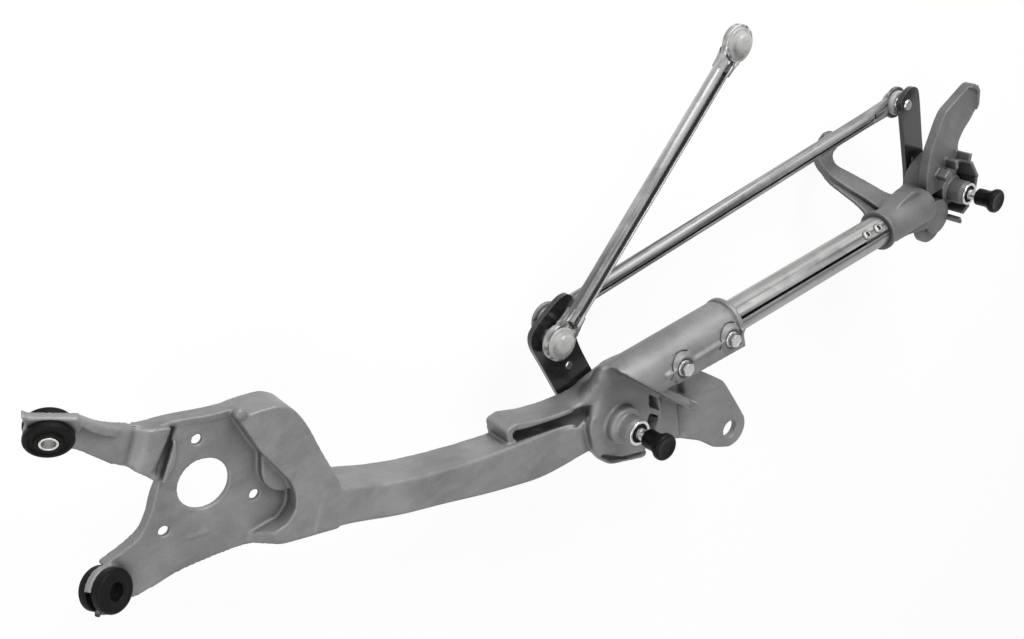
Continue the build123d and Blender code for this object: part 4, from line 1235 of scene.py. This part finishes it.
@dataclass
class HexScrew(Piece):
    """Flanged hexagon screw with a dished head."""

    station: float
    seat: float = 0.42
    across: float = 10.0
    head_height: float = 5.2
    head_seat: float = 0.9
    stem: Outline = (
        (0, -17.6), (2.2, -17.6), (3.0, -16.8), (3.0, 0), (6.6, 0), (6.6, 0.7), (5.6, 1.4), (0, 1.4),
    )

    def head(self, place: Matrix) -> Shape:
        """The hexagon with its rounded corners and dished top.

        Args:
            place: place of the screw.

        Returns:
            The head.
        """
        shape = bmesh.new()
        corner_radius = self.across / 2 / math.cos(math.pi / 6) * MM
        bmesh.ops.create_circle(shape, cap_ends=True, segments=6, radius=corner_radius)
        raised(shape, self.head_height)
        bevelled(shape, shape.edges[:], soft=0.55, steps=2)
        crown = max(shape.faces, key=lambda face: face.calc_center_median().z)
        bmesh.ops.inset_region(shape, faces=[crown], thickness=0.7 * MM, depth=0.0)
        bmesh.ops.inset_region(shape, faces=[crown], thickness=0.6 * MM, depth=-0.5 * MM)
        bmesh.ops.translate(shape, verts=shape.verts, vec=(0, 0, self.head_seat * MM))
        bmesh.ops.transform(shape, matrix=place, verts=shape.verts)
        return shape

    def build(self) -> None:
        """Builds the screw in place of its solid."""
        x, y = TUBE_LINE.beside(self.station, SCREW_SHIFT)
        place = facing(Vector((x, y, self.seat)) * MM, UPWARDS)
        stem = turned(self.stem, place, soft=0.2, closed=False)
        mesh = joined(as_mesh(self.node + "_flanged", stem), [self.head(place)])
        self.fit("_flanged", mesh, crease=35)


@dataclass
class ThreadedSpindle(Piece):
    """Turned spindle whose tip carries a cut thread."""

    x: float
    tip: Pair = (9.2, 20.6)
    pitch: float = 1.25
    radius: float = 4.0
    notch: Outline = ((-0.55, 0.0), (0.4, 0.52), (0.4, -0.52))
    steps_per_turn: int = 32

    def thread(self) -> Shape:
        """The helical groove that is cut into the tip.

        Returns:
            The cutter.
        """
        low, high = self.tip
        steps = int((high - low) / self.pitch * self.steps_per_turn)
        shape = bmesh.new()
        corners = [shape.verts.new(((self.radius + out) * MM, 0, (low + up) * MM)) for out, up in self.notch]
        face = shape.faces.new(corners)
        bmesh.ops.delete(shape, geom=[face], context="FACES_ONLY")
        bmesh.ops.spin(
            shape, geom=shape.verts[:] + shape.edges[:], cent=(0, 0, 0), axis=(0, 0, 1),
            dvec=(0, 0, self.pitch / self.steps_per_turn * MM),
            angle=2 * math.pi * steps / self.steps_per_turn, steps=steps,
        )
        bmesh.ops.holes_fill(shape, edges=shape.edges[:])
        bmesh.ops.recalc_face_normals(shape, faces=shape.faces)
        bmesh.ops.translate(shape, verts=shape.verts, vec=(self.x, 0, 0))
        return shape

    def build(self) -> None:
        """Cuts the thread into a copy of the spindle's skin."""
        self.fit("_threaded", carved(solid_copy(self.node), [self.thread()]), crease=30)


@dataclass
class Studio:
    """Pale floor, white surroundings, soft lamps and the camera at the photograph's angle."""

    floor_level: float = -121.0 * MM
    floor_side: float = 12.0
    floor_tone: Triple = (0.86, 0.86, 0.86)
    floor_glow: float = 1.03
    glow_share: float = 0.90
    ambient: float = 0.26
    centre: Triple = (0.04, 0.07, -0.03)
    eye: Triple = (-0.43494, 0.58187, 0.58456)
    eye_right: Triple = (0.7624, -0.2132, 0.6110)
    eye_up: Triple = (0.4788, 0.8210, -0.3110)
    lens: float = 42.19

    def camera(self) -> None:
        """Sets the camera where the photograph was taken from."""
        data = bpy.data.cameras.new("photograph_view")
        data.sensor_width = 36.0
        data.lens = self.lens
        data.clip_start = 0.01
        data.clip_end = 50.0
        eye = placed("photograph_view", data)
        right = Vector(self.eye_right).normalized()
        back = right.cross(Vector(self.eye_up)).normalized()
        turn = Matrix((right, back.cross(right), back)).transposed().to_4x4()
        eye.matrix_world = Matrix.Translation(Vector(self.eye)) @ turn
        bpy.context.scene.camera = eye

    def lamp(self, name: str, towards: Triple, distance: float, side: float, level: float) -> None:
        """Hangs a soft square lamp that looks at the object.

        Args:
            name: name of the lamp.
            towards: direction from the object to the lamp.
            distance: distance from the object's centre.
            side: side of the lamp.
            level: light that it gives a white surface facing it.
        """
        data = bpy.data.lights.new(name, "AREA")
        data.shape = "SQUARE"
        data.size = side
        data.energy = level * math.pi**2 * distance**2
        lamp = placed(name, data)
        way = Vector(towards).normalized()
        lamp.location = Vector(self.centre) + way * distance
        lamp.rotation_euler = way.to_track_quat("Z", "Y").to_euler()

    def surroundings(self) -> None:
        """Makes the world white where it is seen and a plain level where it only lights."""
        world = bpy.data.worlds.new("white_room")
        bpy.context.scene.world = world
        world.use_nodes = True
        nodes = Nodes(world.node_tree)
        shade = world.node_tree.nodes["Background"].inputs
        nodes.put((1, 1, 1, 1), shade["Color"])
        nodes.put(nodes.span(nodes.seen_directly(), 0.0, 1.0, self.ambient, 1.0), shade["Strength"])

    def floor(self) -> None:
        """Lays the pale floor, which keeps the object's shadow."""
        shape = bmesh.new()
        bmesh.ops.create_grid(shape, x_segments=1, y_segments=1, size=self.floor_side / 2)
        bmesh.ops.translate(shape, verts=shape.verts, vec=(0, 0, self.floor_level))
        mesh = as_mesh("floor", shape)
        bench = Bench("pale_floor", self.floor_tone)
        bench.feed("Base Color", tint(bench.colour, 1.0))
        bench.feed("Roughness", 0.9)
        bench.feed("Specular IOR Level", 0.0)
        white = bench.add("ShaderNodeEmission", {"Strength": self.floor_glow})[0]
        share = bench.times(bench.seen_directly(), self.glow_share)
        parts = {0: share, 1: bench.shader.outputs["BSDF"], 2: white}
        bench.put(bench.add("ShaderNodeMixShader", parts)[0], bench.output)
        mesh.materials.append(bench.material)
        placed("floor", mesh)

    def build(self) -> None:
        """Sets up the whole studio."""
        scene = bpy.context.scene
        scene.view_settings.view_transform = "Standard"
        self.camera()
        self.surroundings()
        self.floor()
        self.lamp("key", (0.32, 0.86, 0.52), distance=1.7, side=1.0, level=1.05)
        self.lamp("fill", (-0.75, 0.1, 0.8), distance=1.9, side=1.4, level=0.30)
        log.info("studio ready")


ENDS = (("driver", 0.0), ("far", 0.425))
TIE_AXIS = (0.0153, 0.0, -1.0)
CUPS = (
    ("motor_link_near_cup", "motor_link", (-0.0220, 0.0810, -0.0470), UPWARDS),
    ("motor_link_free_cup", "motor_link", (0.20018, 0.23086, -0.0470), UPWARDS),
    ("tie_link_near_cup", "tie_link", (-0.0075, 0.0815, -0.0790), TIE_AXIS),
    ("tie_link_far_cup", "tie_link", (0.4175, 0.0815, -0.0725), TIE_AXIS),
)
END_RINGS = (("nose_ring", NOSE_RING, NOSE_RING_SHAPE), ("seal_ring", SEAL, SEAL_SHAPE))
RIVETS = (("tube_rivet_1", 290.0), ("tube_rivet_2", 305.0))
RIVET_TURN = 44.0


def main() -> None:
    """Sets the studio up, dresses the solids and builds the scene's own pieces."""
    logging.basicConfig(level=logging.INFO, format="%(name)s: %(message)s")
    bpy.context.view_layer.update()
    Studio().build()
    dress_solids()
    pieces = [
        MotorBracket(),
        FarBracket(),
        MotorLink(),
        RoundedSkin("tie_link_rod", TIE, "tie_link", cell=0.55 * MM, rounds=3, kept_share=0.4),
        Grommet("upper_grommet", GROMMET, "frame", UPPER_EAR, half=8.0, bore=5.3, collar=7.4, dip=1.7),
        Grommet("lower_grommet", GROMMET, "frame", LOWER_EAR, half=9.5, bore=5.3, collar=7.9, dip=0.35),
    ]
    for node, body, centre, axis in CUPS:
        pieces.append(TurnedPiece(node, CUP, body, CUP_SHAPE, centre, axis))
    for end, x in ENDS:
        cap = end + "_cap"
        pieces.append(TurnedPiece(cap, CAP, cap, CAP_SHAPE, (x, 0, 0), soft=0.6))
    for ring, finish, profile in END_RINGS:
        for end, x in ENDS:
            node = f"{end}_{ring}"
            pieces.append(TurnedPiece(node, finish, "frame", profile, (x, 0, 0), soft=0.12, closed=True))
    for number, station in enumerate(SCREW_STATIONS, 1):
        pieces.append(HexScrew(f"sleeve_screw_{number}", SCREW, "frame", station))
    for node, station in RIVETS:
        centre, axis = TUBE_LINE.point(station), TUBE_LINE.outwards(RIVET_TURN)
        pieces.append(TurnedPiece(node, RIVET, "frame", RIVET_SHAPE, centre, axis, soft=0.2))
    for end, x in ENDS:
        pieces.append(ThreadedSpindle(end + "_spindle", SPINDLE, end + "_crank", x))
    for piece in pieces:
        piece.build()


if __name__ == "__main__":
    main()
